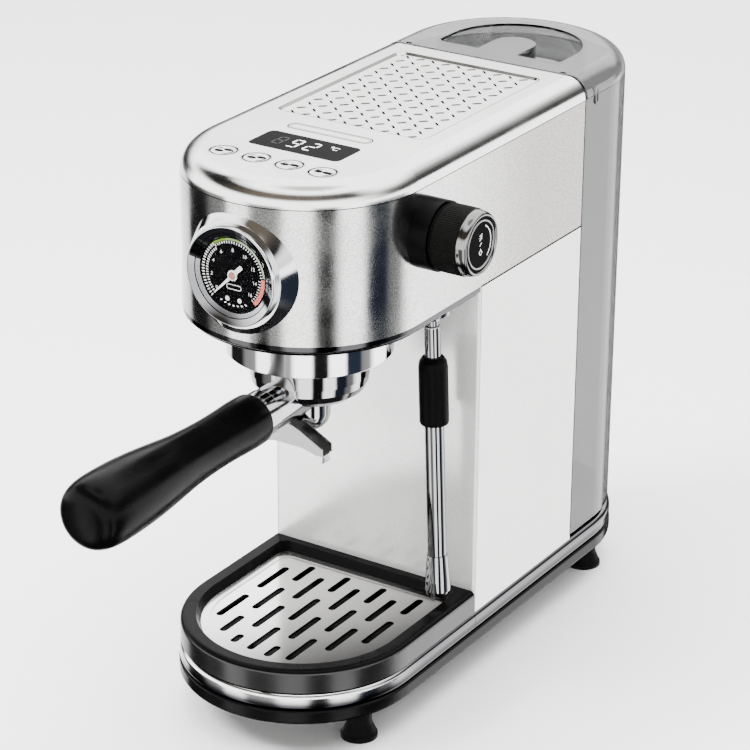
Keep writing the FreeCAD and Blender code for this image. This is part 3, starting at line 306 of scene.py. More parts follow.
STEEL = (0.80, 0.80, 0.79)
M = {
    # Painted shade: the head's steel darkens towards the rear, to about half its brightness with
    # a warm tint.
    "head": metal("head_steel", STEEL, 0.15, (8, 8, 50), 60, 0.03, aniso=0.35, variation=0.10,
                  speckle=0.45,
                  painted_shade_ramp=(at(0, 10, 0), at(0, 130, 0), (1, 1, 1), (0.50, 0.485, 0.46))),
    "cover": metal("cover_steel", (0.82, 0.82, 0.81), 0.15, (50, 8, 50), 60, 0.04,
                   variation=0.06, speckle=0.08),
    "column": metal("column_steel", (0.86, 0.86, 0.85), 0.22, (8, 8, 50), 60, 0.03,
                    variation=0.06, speckle=0.15, purity=0.45),
    "flange": metal("flange_steel", (0.66, 0.66, 0.66), 0.10, (60, 1, 60), 60, 0.03),
    "chrome": metal("chrome", (0.88, 0.88, 0.89), 0.07, grain_bump=0.0, smudge=0.02),
    "satin": metal("satin_steel", (0.70, 0.70, 0.69), 0.12, (60, 1, 60), 60, 0.04),
    # Painted shade: wand_chrome, knob_chrome, rim_chrome and neck_chrome are copies of the bright
    # chrome made darker, so these parts show darker reflections.
    "wand": metal("wand_chrome", (0.30, 0.30, 0.31), 0.06, grain_bump=0.0, smudge=0.02),
    "knob_ring": metal("knob_chrome", (0.17, 0.17, 0.168), 0.07, grain_bump=0.0, smudge=0.02),
    "rim": metal("rim_chrome", (0.055, 0.055, 0.058), 0.08, grain_bump=0.0, smudge=0.02),
    "spout": metal("spout_steel", (0.34, 0.34, 0.34), 0.24, (60, 1, 60), 60, 0.04),
    "neck": metal("neck_chrome", (0.44, 0.44, 0.45), 0.07, grain_bump=0.0, smudge=0.02),
    "sheet": metal("sheet_steel", (0.62, 0.62, 0.62), 0.32, (1, 1, 1), 900, 0.05),
    "black": plastic("black_satin", (0.0016, 0.0016, 0.0018), 0.36, ior=1.10),
    # Painted shade: tray_satin and tray_side_satin are one plastic in two copies, darker and less
    # reflective for the rim and basin, lighter for the outer wall.
    "tray": plastic("tray_satin", (0.0022, 0.0022, 0.0024), 0.26, ior=1.10),
    "tray_side": plastic("tray_side_satin", (0.005, 0.005, 0.0052), 0.24, ior=1.42),
    "dark": plastic("dark_plastic", (0.0022, 0.0022, 0.0024), 0.18, ior=1.14),
    "handle": plastic("handle_black", (0.0012, 0.0012, 0.0012), 0.26, 900, 0.03, ior=1.13),
    "knob": plastic("knob_black", (0.0024, 0.0024, 0.0022), 0.34, ior=1.10),
    "gloss": plastic("gloss_black", (0.0010, 0.0010, 0.0012), 0.07, pore_bump=0.0, ior=1.04),
    "window": plastic("window_black", (0.0030, 0.0030, 0.0034), 0.12, pore_bump=0.0, ior=1.04),
    "rubber": plastic("rubber", (0.0020, 0.0020, 0.0020), 0.55, 700, 0.15, ior=1.12),
    "smoke": smoked("smoke_plastic", (0.20, 0.202, 0.203), 0.02, 1.42),
    "lid": smoked("lid_plastic", (0.42, 0.422, 0.42), 0.02, 1.42),
    "lens": pane("clear_lens", (0.004, 0.0042, 0.0045), 0.06, 1.04),
    "white": plastic("print_white", (0.70, 0.70, 0.68), 0.45, pore_bump=0.02),
    "lit": plastic("figure_white", (0.85, 0.85, 0.85), 0.40, pore_bump=0.02),
    "dim": plastic("print_dim", (0.028, 0.028, 0.028), 0.35, pore_bump=0.02, ior=1.1),
    # Painted shade for the lines in the badge's groove.
    "mark": plastic("badge_groove_shade", (0.020, 0.020, 0.020), 0.45, pore_bump=0.02, ior=1.05),
    "press": plastic("pressed_shadow", (0.035, 0.035, 0.034), 0.45, pore_bump=0.02, ior=1.05),
    "seam": plastic("seam_shadow", (0.004, 0.004, 0.004), 0.5, pore_bump=0.02, ior=1.05),
    "grey": plastic("print_grey", (0.003, 0.004, 0.004), 0.45, pore_bump=0.02, ior=1.05),
    "green": plastic("print_green", (0.12, 0.22, 0.02), 0.5, pore_bump=0.02, ior=1.1),
    "soft_green": plastic("print_soft_green", (0.19, 0.28, 0.10), 0.5, pore_bump=0.02, ior=1.1),
    "pale_green": plastic("print_pale", (0.30, 0.38, 0.27), 0.5, pore_bump=0.02, ior=1.1),
    "red": plastic("print_red", (0.50, 0.13, 0.11), 0.5, pore_bump=0.02, ior=1.1),
    "hub": plastic("hub_rose", (0.32, 0.13, 0.11), 0.35, pore_bump=0.02, ior=1.2),
    "dial": plastic("dial_black", (0.0022, 0.0022, 0.0026), 0.32, pore_bump=0.0, ior=1.06),
    "aluminium": metal("cast_aluminium", (0.62, 0.62, 0.63), 0.42, grain_bump=0.1),
    "brass": metal("brass", (0.66, 0.50, 0.25), 0.28, grain_bump=0.05),
    "board": plastic("board_green", (0.03, 0.16, 0.07), 0.35),
    "hose": plastic("silicone", (0.62, 0.62, 0.60), 0.4),
    "pipe": plastic("pipe_white", (0.75, 0.75, 0.73), 0.35),
    "coil": plastic("coil_housing", (0.06, 0.07, 0.09), 0.4),
    "cover_button": metal("button_steel", STEEL, 0.22, (60, 1, 60), 60, 0.03),
    # Painted reflection: the bezel's chrome goes from light at its upper right to dark at its
    # lower left.
    "mirror": painted_shade_metal("mirror_chrome", (0.66, 0.67, 0.69), (0.17, 0.172, 0.178), 0.05,
                     at(14, -72, 294), at(-12, -72, 262)),
    # Painted reflection and shade: the drip grid goes from light at its rear left to dark at its
    # front right.
    "grid": painted_shade_metal("grid_steel", (0.84, 0.84, 0.83), (0.06, 0.06, 0.06), 0.14,
                   at(-28, 30, 0), at(60, -26, 0)),
    # Painted shade: the base trim darkens towards its lower edge and, through a second ramp,
    # towards its right side.
    "trim": painted_shade_metal("trim_chrome", (0.86, 0.86, 0.87), (0.04, 0.04, 0.045), 0.13,
                   at(0, 0, 37.6), at(0, 0, 32.0),
                   (at(34, -60, 0), at(72, 10, 0), (1, 1, 1), (0.14, 0.14, 0.145))),
}

NODE_MATERIAL = {
    "head": ["head_shell"],
    "cover": ["top_cover", "cup_warmer"],
    "flange": ["gauge_flange"],
    "column": ["column_shell"],
    "trim": ["base_trim_front", "base_trim_rear"],
    "wand": ["steam_wand", "wand_socket", "wand_swivel", "froth_sleeve"],
    "rim": ["head_rim"],
    "chrome": ["gauge_bezel", "knob_ring", "group_collar", "lid_pins", "valve_stem"],
    "neck": ["portafilter_body", "handle_collar", "outlet_boss"],
    "grid": ["drip_grid"],
    "satin": ["shower_screen", "filter_basket", "group_head"],
    "spout": ["twin_spout"],
    "sheet": ["chassis_frame"],
    "black": ["head_underside", "knob_collar", "wand_grip"],
    "tray": ["drip_tray"],
    "dark": ["base_pan", "base_deck", "bay_wall"],
    "gloss": ["knob_face", "gauge_case"],
    "window": ["display_window"],
    "knob": ["steam_knob"],
    "handle": ["handle"],
    "cover_button": ["button_1", "button_2", "button_3", "button_4"],
    "rubber": ["rubber_feet", "group_gasket", "tank_seat", "cord_gland", "pump_mounts"],
    "smoke": ["tank"],
    "lid": ["tank_lid"],
    "white": ["tank_valve", "gauge_needle"],
    "lens": ["gauge_lens"],
    "dial": ["gauge_dial"],
    "aluminium": ["thermoblock"],
    "brass": ["steam_valve"],
    "board": ["button_board", "control_board"],
    "hose": ["water_hoses"],
    "pipe": ["pressure_pipes"],
    "coil": ["pump"],
}


def dress_nodes():
    """Material of every CAD node."""
    for key, names in NODE_MATERIAL.items():
        for name in names:
            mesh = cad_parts[name].data
            mesh.materials.clear()
            mesh.materials.append(M[key])


def dress_tray_side():
    """Painted shade: the tray's upright outer wall gets a lighter, more reflective copy of its
    plastic than its rim and basin.
    """
    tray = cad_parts["drip_tray"]
    tray.data.materials.append(M["tray_side"])
    centre = at(0, TRAY_CENTRE_Y, 0)
    for face in tray.data.polygons:
        away = tray.matrix_world @ face.center - centre
        outward = away.x * face.normal.x + away.y * face.normal.y > 0
        upright = abs(face.normal.z) < 0.45
        face.material_index = 1 if upright and outward else 0


# ------------------------------------------------------------------ mesh helpers
def add_piece(name, mesh, mat, body, replaced=(), sharp=35):
    """A finished mesh as a named piece that rides on a body."""
    mesh.materials.clear()
    mesh.materials.append(mat)
    for face in mesh.polygons:
        face.use_smooth = True
    mesh.set_sharp_from_angle(angle=math.radians(sharp))
    piece = bpy.data.objects.new(name, mesh)
    bpy.context.scene.collection.objects.link(piece)
    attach(piece, body)
    if replaced:
        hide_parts(*replaced)
    return piece


def mesh_of(name, bm):
    """Mesh data from a finished bmesh, with its faces turned outwards."""
    bmesh.ops.recalc_face_normals(bm, faces=bm.faces)
    mesh = bpy.data.meshes.new(name)
    bm.to_mesh(mesh)
    bm.free()
    return mesh


def turned(name, profile, steps, centre, axis, shape=None):
    """Mesh of revolution from (radius, height) points; shape(angle, r, h) may vary the radius."""
    p, q = centre
    place = {"x": lambda u, v, h: at(h, p + u, q + v),
             "y": lambda u, v, h: at(p + u, h, q + v),
             "z": lambda u, v, h: at(p + u, q + v, h)}[axis]
    bm = bmesh.new()
    rings = []
    for r, h in profile:
        if r == 0:
            rings.append([bm.verts.new(place(0, 0, h))])
            continue
        ring = []
        for i in range(steps):
            a = 2 * math.pi * i / steps
            reach = shape(a, r, h) if shape else r
            ring.append(bm.verts.new(place(reach * math.cos(a), reach * math.sin(a), h)))
        rings.append(ring)
    closed = profile[0][0] != 0
    pairs = list(zip(rings, rings[1:])) + ([(rings[-1], rings[0])] if closed else [])
    for low, high in pairs:
        for i in range(steps):
            j = (i + 1) % steps
            corners = [low[i % len(low)], low[j % len(low)],
                       high[j % len(high)], high[i % len(high)]]
            corners = [c for n, c in enumerate(corners) if c not in corners[:n]]
            if len(corners) > 2:
                bm.faces.new(corners)
    return mesh_of(name, bm)


def curve_through(points, steps):
    """Smooth list of (r, h) points through the given ones."""
    out = []
    for i in range(len(points) - 1):
        p0, p1 = points[max(i - 1, 0)], points[i]
        p2, p3 = points[i + 1], points[min(i + 2, len(points) - 1)]
        for s in range(steps):
            t = s / steps
            out.append(tuple(0.5 * (2 * b + (c - a) * t + (2 * a - 5 * b + 4 * c - d) * t * t
                                    + (3 * b - a - 3 * c + d) * t ** 3)
                             for a, b, c, d in zip(p0, p1, p2, p3)))
    out.append(points[-1])
    return out


def slab(bm, frame_of, outline, low, high):
    """Thin closed plate from a 2-D outline on a surface."""
    base = [bm.verts.new(frame_of(u, v, low)) for u, v in outline]
    face = [bm.verts.new(frame_of(u, v, high)) for u, v in outline]
    bm.faces.new(face)
    bm.faces.new(base[::-1])
    for i in range(len(outline)):
        j = (i + 1) % len(outline)
        bm.faces.new((base[i], base[j], face[j], face[i]))


def band(bm, frame_of, inner, outer, low, high, closed):
    """Thin closed strip between two 2-D lines of the same number of points."""
    rows = [[bm.verts.new(frame_of(u, v, w)) for u, v in line]
            for line, w in ((inner, low), (outer, low), (outer, high), (inner, high))]
    count = len(inner)
    for i in range(count if closed else count - 1):
        j = (i + 1) % count
        for a, b in ((0, 1), (1, 2), (2, 3), (3, 0)):
            bm.faces.new((rows[a][i], rows[a][j], rows[b][j], rows[b][i]))
    if not closed:
        bm.faces.new([row[0] for row in rows])
        bm.faces.new([row[-1] for row in rows][::-1])


def polar(r, degrees):
    """Point at a clock angle: 0 is up, positive is clockwise."""
    a = math.radians(degrees)
    return r * math.sin(a), r * math.cos(a)


def arc(bm, frame_of, r0, r1, a0, a1, low=0.0, high=PRINT):
    """Thin ring or part of one, between two radii and two clock angles."""
    whole = abs(a1 - a0) >= 360
    steps = max(2, round(abs(a1 - a0) / 3))
    turn = [a0 + (a1 - a0) * i / steps for i in range(steps if whole else steps + 1)]
    inner, outer = [polar(r0, a) for a in turn], [polar(r1, a) for a in turn]
    band(bm, frame_of, inner, outer, low, high, whole)


def oval(bm, frame_of, u, v, half, tall, width, high=PRINT):
    """Outline with two round ends."""
    def line(grow):
        points = []
        for side, start in ((1, 90), (-1, -90)):
            for i in range(13):
                a = math.radians(start - i * 15)
                points.append((u + side * (half - tall) + (tall + grow) * math.cos(a),
                               v + (tall + grow) * math.sin(a)))
        return points
    band(bm, frame_of, line(-width), line(0.0), 0.0, high, True)


def disc(bm, frame_of, u, v, r, steps=28):
    """Round dot."""
    turn = [2 * math.pi * i / steps for i in range(steps)]
    outline = [(u + r * math.cos(a), v + r * math.sin(a)) for a in turn]
    slab(bm, frame_of, outline, 0.0, PRINT)


def stroke(bm, frame_of, a, b, width, high=PRINT):
    """Straight mark from a to b with tapered ends."""
    along = Vector((b[0] - a[0], b[1] - a[1])).normalized()
    side = Vector((-along.y, along.x)) * width / 2
    p, q = Vector(a), Vector(b)
    nip = along * width * 0.45
    outline = [p, p + nip + side, q - nip + side, q, q - nip - side, p + nip - side]
    slab(bm, frame_of, [tuple(o) for o in outline], 0.0, high)


def on_top(u, v, w):
    """Point on the top of the machine."""
    return at(u, v, TOP_Z + w)


def on_dial(u, v, w):
    """Point on the gauge's dial, from its centre."""
    return at(u * DIAL_SCALE, DIAL_Y - w, GAUGE_Z + v * DIAL_SCALE)


def on_knob(u, v, w):
    """Point on the knob's face, from its centre."""
    return at(KNOB_FACE_X + w, KNOB_Y + u, KNOB_Z + v)


def numeral(bm, frame_of, text, u, v, size, high=PRINT):
    """A number in Blender's own font, laid on a surface."""
    data = bpy.data.curves.new("numeral", "FONT")
    data.body = text
    data.size = size
    data.align_x = data.align_y = "CENTER"
    data.resolution_u = 3
    data.extrude = high / 2
    holder = bpy.data.objects.new("numeral", data)
    mesh = bpy.data.meshes.new_from_object(holder)
    for vertex in mesh.vertices:
        x, y, z = vertex.co
        vertex.co = frame_of(u + x, v + y, z + high / 2)
    bm.from_mesh(mesh)
    bpy.data.objects.remove(holder)
    bpy.data.curves.remove(data)
    bpy.data.meshes.remove(mesh)


# ------------------------------------------------------------------ steam knob
def make_knob():
    """Fluted barrel, two bright rings and the marks on the face."""
    ribs, flute, grip_r = 84, 0.16, 17
    start, end = 79.4, 96.4

    def fluted(a, r, h):
        if r < grip_r or h < start + 1.4 or h > end - 0.9:
            return r
        return r - flute + flute * math.cos(ribs * a)
    profile = [(0, 92.0), (3.02, 92.0), (3.02, start), (17.4, start), (17.9, start + 0.2),
               (18.15, start + 0.6), (18.2, start + 1.2), (17.8, start + 1.4),
               (18.42, start + 1.8), (18.46, start + 6), (18.46, end - 6), (18.4, end - 1.2),
               (18.1, end - 0.8), (18.1, end - 0.3), (17.9, end), (0, end)]
    axis = (KNOB_Y, KNOB_Z)
    mesh = turned("knob_barrel", profile, ribs * 6, axis, "x", fluted)
    add_piece("knob_barrel", mesh, M["knob"], "steam_control", ["steam_knob"], 50)

    ring = curve_through([(14.9, 96.45), (17.7, 96.45), (17.8, 96.8), (17.75, 98.4),
                          (17.35, 100.2), (16.7, 101.3), (15.9, 101.75), (15.3, 101.6),
                          (14.95, 101.0), (14.9, 100.4), (14.9, 98.0)], 4)
    mesh = turned("knob_bright_ring", ring, 128, axis, "x")
    add_piece("knob_bright_ring", mesh, M["knob_ring"], "steam_control",
              ["knob_ring"], 60)

    inner = [(12.3, 100.7), (13.5, 100.7), (13.5, 101.2), (13.3, 101.4), (12.6, 101.4),
             (12.3, 101.2)]
    mesh = turned("knob_inner_ring", inner, 128, axis, "x")
    add_piece("knob_inner_ring", mesh, M["knob_ring"], "steam_control", (), 60)

    def on_mark(u, v, w):
        return on_knob(u, v - 4.6, w)
    bm = bmesh.new()
    arc(bm, on_knob, 9.9, 10.5, 25, 140)
    for v in (2.8, 4.0, 5.2):
        stroke(bm, on_knob, (-1.4, v - 0.5), (1.4, v + 0.5), 0.42)
    stroke(bm, on_knob, (-1.0, -0.9), (1.0, 0.9), 0.42)
    arc(bm, on_mark, 0.9, 1.4, 0, 360)
    stroke(bm, on_knob, (0.0, -3.4), (0.0, -2.3), 0.7)
    add_piece("knob_print", mesh_of("knob_print", bm), M["white"], "steam_control")


# ------------------------------------------------------------------ gauge
def make_bezel():
    """Bright bezel with its inward slope, and the glass."""
    rim = curve_through([(27.6, -70.05), (27.6, -72.2), (27.5, -73.2), (27.25, -73.75),
                         (26.95, -73.95), (26.65, -73.9)], 4)
    slope = [(26.5, -73.8), (21.0, -70.95), (20.9, -70.85), (20.9, -70.7), (24.5, -70.6)]
    profile = rim + slope + [(25.2, -70.3), (25.2, -70.05)]
    mesh = turned("gauge_bright_bezel", profile, 160, (0, GAUGE_Z), "y")
    add_piece("gauge_bright_bezel", mesh, M["mirror"], "machine",
              ["gauge_bezel"], 14)

    glass = [(0, -72.3), (22.9, -72.3), (22.95, -72.25), (22.9, -72.2), (0, -72.2)]
    mesh = turned("gauge_glass", glass, 96, (0, GAUGE_Z), "y")
    add_piece("gauge_glass", mesh, M["lens"], "machine", ["gauge_lens"])


def ticks(bm, r0, r1, first, step, count, half):
    """Row of scale marks; half is half the angle that each one covers."""
    for i in range(count):
        a = first + i * step
        arc(bm, on_dial, r0, r1, a - half, a + half)


def make_dial_print():
    """Scale, numbers, coloured zones and plain marks of the dial."""
    bm = bmesh.new()
    ticks(bm, 18.9, 20.5, -135, 5, 20, 1.0)
    ticks(bm, 16.4, 17.8, -135, 5, 20, 1.0)
    ticks(bm, 18.0, 19.3, -37, 5, 25, 0.8)
    for i in range(9):
        u, v = polar(14.2, -130 + i * 32.5)
        numeral(bm, on_dial, str(2 * i), u, v, 2.8)
    oval(bm, on_dial, 0.4, -6.9, 4.9, 1.5, 0.35)
    for u in (-4.0, 4.0):
        disc(bm, on_dial, u, -14.1, 1.35)
    for i in range(-3, 4):
        u, v = polar(17.6, 180 + i * 9)
        stroke(bm, on_dial, (u - 0.75, v - 0.1 * i), (u + 0.75, v + 0.1 * i), 0.7)
    add_piece("dial_scale", mesh_of("dial_scale", bm), M["white"], "machine")

    for name, mat, r0, r1, a0, a1 in (("dial_green", "green", 19.6, 20.8, -44, -14),
                                      ("dial_green_soft", "soft_green", 19.7, 20.8, -14, 14),
                                      ("dial_pale", "pale_green", 19.8, 20.8, 14, 84),
                                      ("dial_red", "red", 18.3, 20.6, 86, 136)):
        bm = bmesh.new()
        arc(bm, on_dial, r0, r1, a0, a1, 0.0, PRINT / 2)
        add_piece(name, mesh_of(name, bm), M[mat], "machine")

    bm = bmesh.new()
    ticks(bm, 16.6, 18.0, 90, 5.5, 9, 0.7)
    add_piece("dial_red_ticks", mesh_of("dial_red_ticks", bm), M["white"], "machine")


def make_needle():
    """Pointer at its lowest mark, with its hub and hub ring."""
    tail, tip, lean = 8.4, 17.2, math.radians(-135)
    side = [(-tail + 0.5, 1.25), (-2.0, 1.15), (0, 1.0), (tip - 0.3, 0.28)]
    line = ([(-tail, -0.7)] + [(x, -y) for x, y in side] + [(tip, 0)] + side[::-1]
            + [(-tail, 0.7)])
    points = [(x * math.sin(lean) + y * math.cos(lean), x * math.cos(lean) - y * math.sin(lean))
              for x, y in line]
    bm = bmesh.new()
    slab(bm, on_dial, points, 0.4, 0.8)
    add_piece("needle_blade", mesh_of("needle_blade", bm), M["white"], "pointer",
              ["gauge_needle"])
    hub = [(0, -71.9), (1.9, -71.9), (2.0, -71.75), (2.0, -71.2), (0.84, -71.1), (0.84, -60),
           (0, -60)]
    mesh = turned("needle_hub", hub, 48, (0, GAUGE_Z), "y")
    add_piece("needle_hub", mesh, M["hub"], "pointer")
    ring = [(2.05, -71.0), (2.9, -71.0), (2.95, -71.4), (2.8, -71.6), (2.1, -71.7)]
    mesh = turned("needle_ring", ring, 48, (0, GAUGE_Z), "y")
    add_piece("needle_ring", mesh, M["white"], "pointer")


# ------------------------------------------------------------------ display and top
SEGMENTS = {"2": "abged", "8": "abcdefg", "9": "abcdfg"}
SLANT = 0.08             # of the display's figures


def digit(bm, text, u0, wide, tall, width):
    """Seven-segment figure."""
    def place(u, v):
        return u0 + u + SLANT * v, DISPLAY_Y + v
    w, h = wide / 2, tall / 2
    ends = {"a": ((-w, h), (w, h)), "g": ((-w, 0), (w, 0)), "d": ((-w, -h), (w, -h)),
            "f": ((-w, 0), (-w, h)), "b": ((w, 0), (w, h)), "e": ((-w, -h), (-w, 0)),
            "c": ((w, -h), (w, 0))}
    for key in SEGMENTS[text]:
        (ua, va), (ub, vb) = ends[key]
        du, dv = ub - ua, vb - va
        gap = 0.35 / math.hypot(du, dv)
        start = place(ua + du * gap, va + dv * gap)
        end = place(ub - du * gap, vb - dv * gap)
        stroke(bm, on_top, start, end, width)


def warmer_marks(name, mat, odd, depth, reach, lean, width, thick):
    """Slanted marks on every second place of the cup warmer; lean is 1 or -1."""
    def on_floor(u, v, w):
        return on_top(u, v, depth + w)
    bm = bmesh.new()
    for column in range(WARMER_COLUMNS):
        for row in range(WARMER_ROWS):
            if (column + row) % 2 == odd:
                x = WARMER_X0 + column * WARMER_PITCH_X
                y = WARMER_Y0 + row * WARMER_PITCH_Y
                stroke(bm, on_floor, (x - reach, y - reach * lean),
                       (x + reach, y + reach * lean), width, thick)
    add_piece(name, mesh_of(name, bm), M[mat], "machine")


def make_warmer_marks():
    """Painted shade of the cup warmer: dark dashes on its pressed dimples, dark vents and a dark
    line along its edge.
    """
    warmer_marks("warmer_dashes", "press", 1, WARMER_FLOOR, 2.1, 1, 2.3, 0.05)
    warmer_marks("warmer_vents", "seam", 0, WARMER_FLOOR - 0.3, 2.25, -1, 1.9,
                 0.1)
    side, front = WARMER_HALF_W - WARMER_CORNER, WARMER_FRONT + WARMER_CORNER
    rear = WARMER_REAR - WARMER_CORNER
    lines = [[], []]
    for cx, cy, start in ((side, rear, 0), (-side, rear, 90), (-side, front, 180),
                          (side, front, 270)):
        for i in range(10):
            a = math.radians(start + 10 * i)
            for line, grow in zip(lines, (-0.05, 0.35)):
                r = WARMER_CORNER + grow
                line.append((cx + r * math.cos(a), cy + r * math.sin(a)))
    bm = bmesh.new()
    band(bm, on_top, lines[0], lines[1], -0.02, 0.03, True)
    add_piece("warmer_edge", mesh_of("warmer_edge", bm), M["press"], "machine")


def make_badge_line():
    """Painted shade: two thin dark lines in the groove of the blank badge."""
    bm = bmesh.new()
    for half, tall, width in ((26.8, 4.6, 0.9), (25.1, 2.9, 0.4)):
        oval(bm, on_top, 0.0, BADGE_Y, half, tall, width, 0.03)
    add_piece("badge_line", mesh_of("badge_line", bm), M["mark"], "machine")


def make_display():
    """One unlit figure, two lit ones and the degree sign."""
    bm = bmesh.new()
    digit(bm, "8", -15.4, 4.6, 10.6, 1.1)
    add_piece("display_dim_figure", mesh_of("display_dim_figure", bm), M["dim"], "machine")

    def at_ring(u, v, w):
        return on_top(14.2 + u, 1.6 + v, w)

    def at_letter(u, v, w):
        return on_top(17.4 + u, -0.2 + v, w)
    bm = bmesh.new()
    digit(bm, "9", -5.6, 5.0, 11.2, 0.85)
    digit(bm, "2", 4.6, 5.0, 11.2, 0.85)
    arc(bm, at_ring, 0.5, 0.9, 0, 360)
    arc(bm, at_letter, 1.6, 2.1, 130, 410)
    add_piece("display_figures", mesh_of("display_figures", bm), M["lit"], "machine")


def make_buttons():
    """Four round caps, each with a generic mark and a fine ring."""
    cap = [(0, 324.0), (2.4, 324.0), (2.4, 327.1), (9.1, 327.1), (9.1, 328.2), (8.0, 328.2),
           (8.0, 329.8), (7.9, 330.0), (7.7, 330.1), (6.95, 330.12), (6.9, 330.0),
           (6.55, 330.0), (6.5, 330.12), (3.5, 330.14), (0, 330.14)]
    thin = 0.07
    for number in range(1, 5):
        x, y, _ = middle("button_%d" % number)
        mesh = turned("button_cap_%d" % number, cap, 72, (x, y), "z")
        add_piece("button_cap_%d" % number, mesh, M["cover_button"], "key_%d" % number,
                  ["button_%d" % number], 30)

        def on_cap(u, v, w, x=x, y=y):
            return at(x + u, y + v, 330.15 + w)
        bm = bmesh.new()
        lean = 40 + number * 12
        for turn, reach in ((lean, 2.6), (lean + 180, 2.5)):
            u, v = polar(reach, turn)
            bean = [polar(1.9, t * 20) for t in range(18)]
            slab(bm, on_cap, [(u + a * 1.4, v + b * 0.85) for a, b in bean], 0.0, thin)
        arc(bm, on_cap, 5.1, 5.8, 70, 150, 0.0, thin)
        arc(bm, on_cap, 6.85, 7.65, 0, 360, -0.03, 0.04)
        stroke(bm, on_cap, (-4.8, 1.6), (-2.2, 2.9), 0.7, thin)
        name = "button_print_%d" % number
        add_piece(name, mesh_of(name, bm), M["grey"], "key_%d" % number)


# ------------------------------------------------------------------ handle
def make_handle():
    """Black handle with a thin front and a full, rounded end."""
    line = [(14.3, -56.2), (14.5, -60), (14.45, -68), (14.1, -78), (13.9, -90), (14.2, -104),
            (15.1, -119), (16.6, -133), (18.2, -148), (19.3, -163), (19.75, -177),
            (19.6, -186.5), (18.8, -193), (17.1, -197.6), (14.4, -200.3), (10.5, -202.0),
            (5.0, -202.8)]
    profile = ([(0, -120.0), (3.32, -120.0), (3.32, -55.1), (13.0, -55.1), (13.6, -55.3),
                (14.1, -55.7)] + curve_through(line, 4) + [(0, -203.0)])
    mesh = turned("handle_grip", profile, 128, (0, HANDLE_Z), "y")
    add_piece("handle_grip", mesh, M["handle"], "portafilter", ["handle"], 40)


# ------------------------------------------------------------------ seams
def seam(name, path, across):
    """Thin dark line that follows a joint; path holds (point, outward) pairs."""
    bm = bmesh.new()
    half = Vector(across) * 0.5 * MM
    rows = []
    for point, outward in path:
        lip, root = point + outward * 0.03 * MM, point - outward * 0.25 * MM
        corners = (root - half, lip - half, lip + half, root + half)
        rows.append([bm.verts.new(corner) for corner in corners])
    for low, high in zip(rows, rows[1:]):
        for a, b in ((0, 1), (1, 2), (2, 3), (3, 0)):
            bm.faces.new((low[a], low[b], high[b], high[a]))
    bm.faces.new(rows[0])
    bm.faces.new(rows[-1][::-1])
    add_piece(name, mesh_of(name, bm), M["seam"], "machine")


def make_seams():
    """Joints under the top cover, under the head and in front of the reservoir."""
    left, right = Vector((-1, 0, 0)), Vector((1, 0, 0))
    rear = TANK_Y - 0.5
    arch = [(at(-HALF_W, rear, COVER_SEAM_Z), left)]
    for i in range(61):
        a = math.radians(180 + 3 * i)
        out = Vector((math.cos(a), math.sin(a), 0))
        arch.append((at(HALF_W * out.x, HALF_W * out.y, COVER_SEAM_Z), out))
    arch.append((at(HALF_W, rear, COVER_SEAM_Z), right))
    seam("cover_seam", arch, (0, 0, 0.5))

    for side, out, name in ((-1, left, "left"), (1, right, "right")):
        line = [(at(side * HALF_W, y, COLUMN_SEAM_Z), out) for y in (66.0, rear)]
        seam("column_seam_" + name, line, (0, 0, 1.1))

    ring = [(at(-HALF_W, TANK_Y, DECK_SEAM_Z), left)]
    for side, start in ((-1, 180), (1, 90)):
        for i in range(19):
            a = math.radians(start - 5 * i)
            out = Vector((math.cos(a), 0, math.sin(a)))
            ring.append((at(side * (HALF_W - EDGE_R) + EDGE_R * out.x, TANK_Y,
                            TOP_Z - EDGE_R + EDGE_R * out.z), out))
    ring.append((at(HALF_W, TANK_Y, DECK_SEAM_Z), right))
    seam("reservoir_seam", ring, (0, 0.8, 0))


dress_nodes()
dress_tray_side()
make_knob()
make_bezel()
make_dial_print()
make_needle()
make_seams()
make_display()
make_badge_line()
make_warmer_marks()
make_buttons()
make_handle()


# ------------------------------------------------------------------ camera, light and floor
VIEW = (32.57, 24.33, 0.37)            # the camera's azimuth, elevation and roll, in degrees
CAMERA_PLACE = (811.2, -1201.6, 831.3)
WORLD_STRENGTH = 4.6


def make_camera():
    """Long lens from the front right and above."""
    azimuth, elevation, roll = (math.radians(a) for a in VIEW)
    back = Vector((math.sin(azimuth) * math.cos(elevation),
                   -math.cos(azimuth) * math.cos(elevation), math.sin(elevation)))
    right = (-back).cross(Vector((0, 0, 1))).normalized()
    up = right.cross(-back)
    side = right * math.cos(roll) + up * math.sin(roll)
    top = up * math.cos(roll) - right * math.sin(roll)
    data = bpy.data.cameras.new("camera")
    data.lens = 138.9
    data.sensor_width = 36.0
    data.shift_x = -0.0027
    data.shift_y = 0.0464
    data.clip_end = 50
    camera = bpy.data.objects.new("camera", data)
    turn = Matrix((side, top, back)).transposed().to_4x4()
    camera.matrix_world = Matrix.Translation(at(*CAMERA_PLACE)) @ turn
    bpy.context.scene.collection.objects.link(camera)
    bpy.context.scene.camera = camera


def softbox(name, place, target, size, power):
    """Square soft light that isn't seen in reflections."""
    data = bpy.data.lights.new(name, "AREA")
    data.shape = "SQUARE"
    data.size = size
    data.energy = power
    light = bpy.data.objects.new(name, data)
    light.location = place
    light.rotation_euler = (target - place).to_track_quat("-Z", "Y").to_euler()
    light.visible_glossy = False
    bpy.context.scene.collection.objects.link(light)


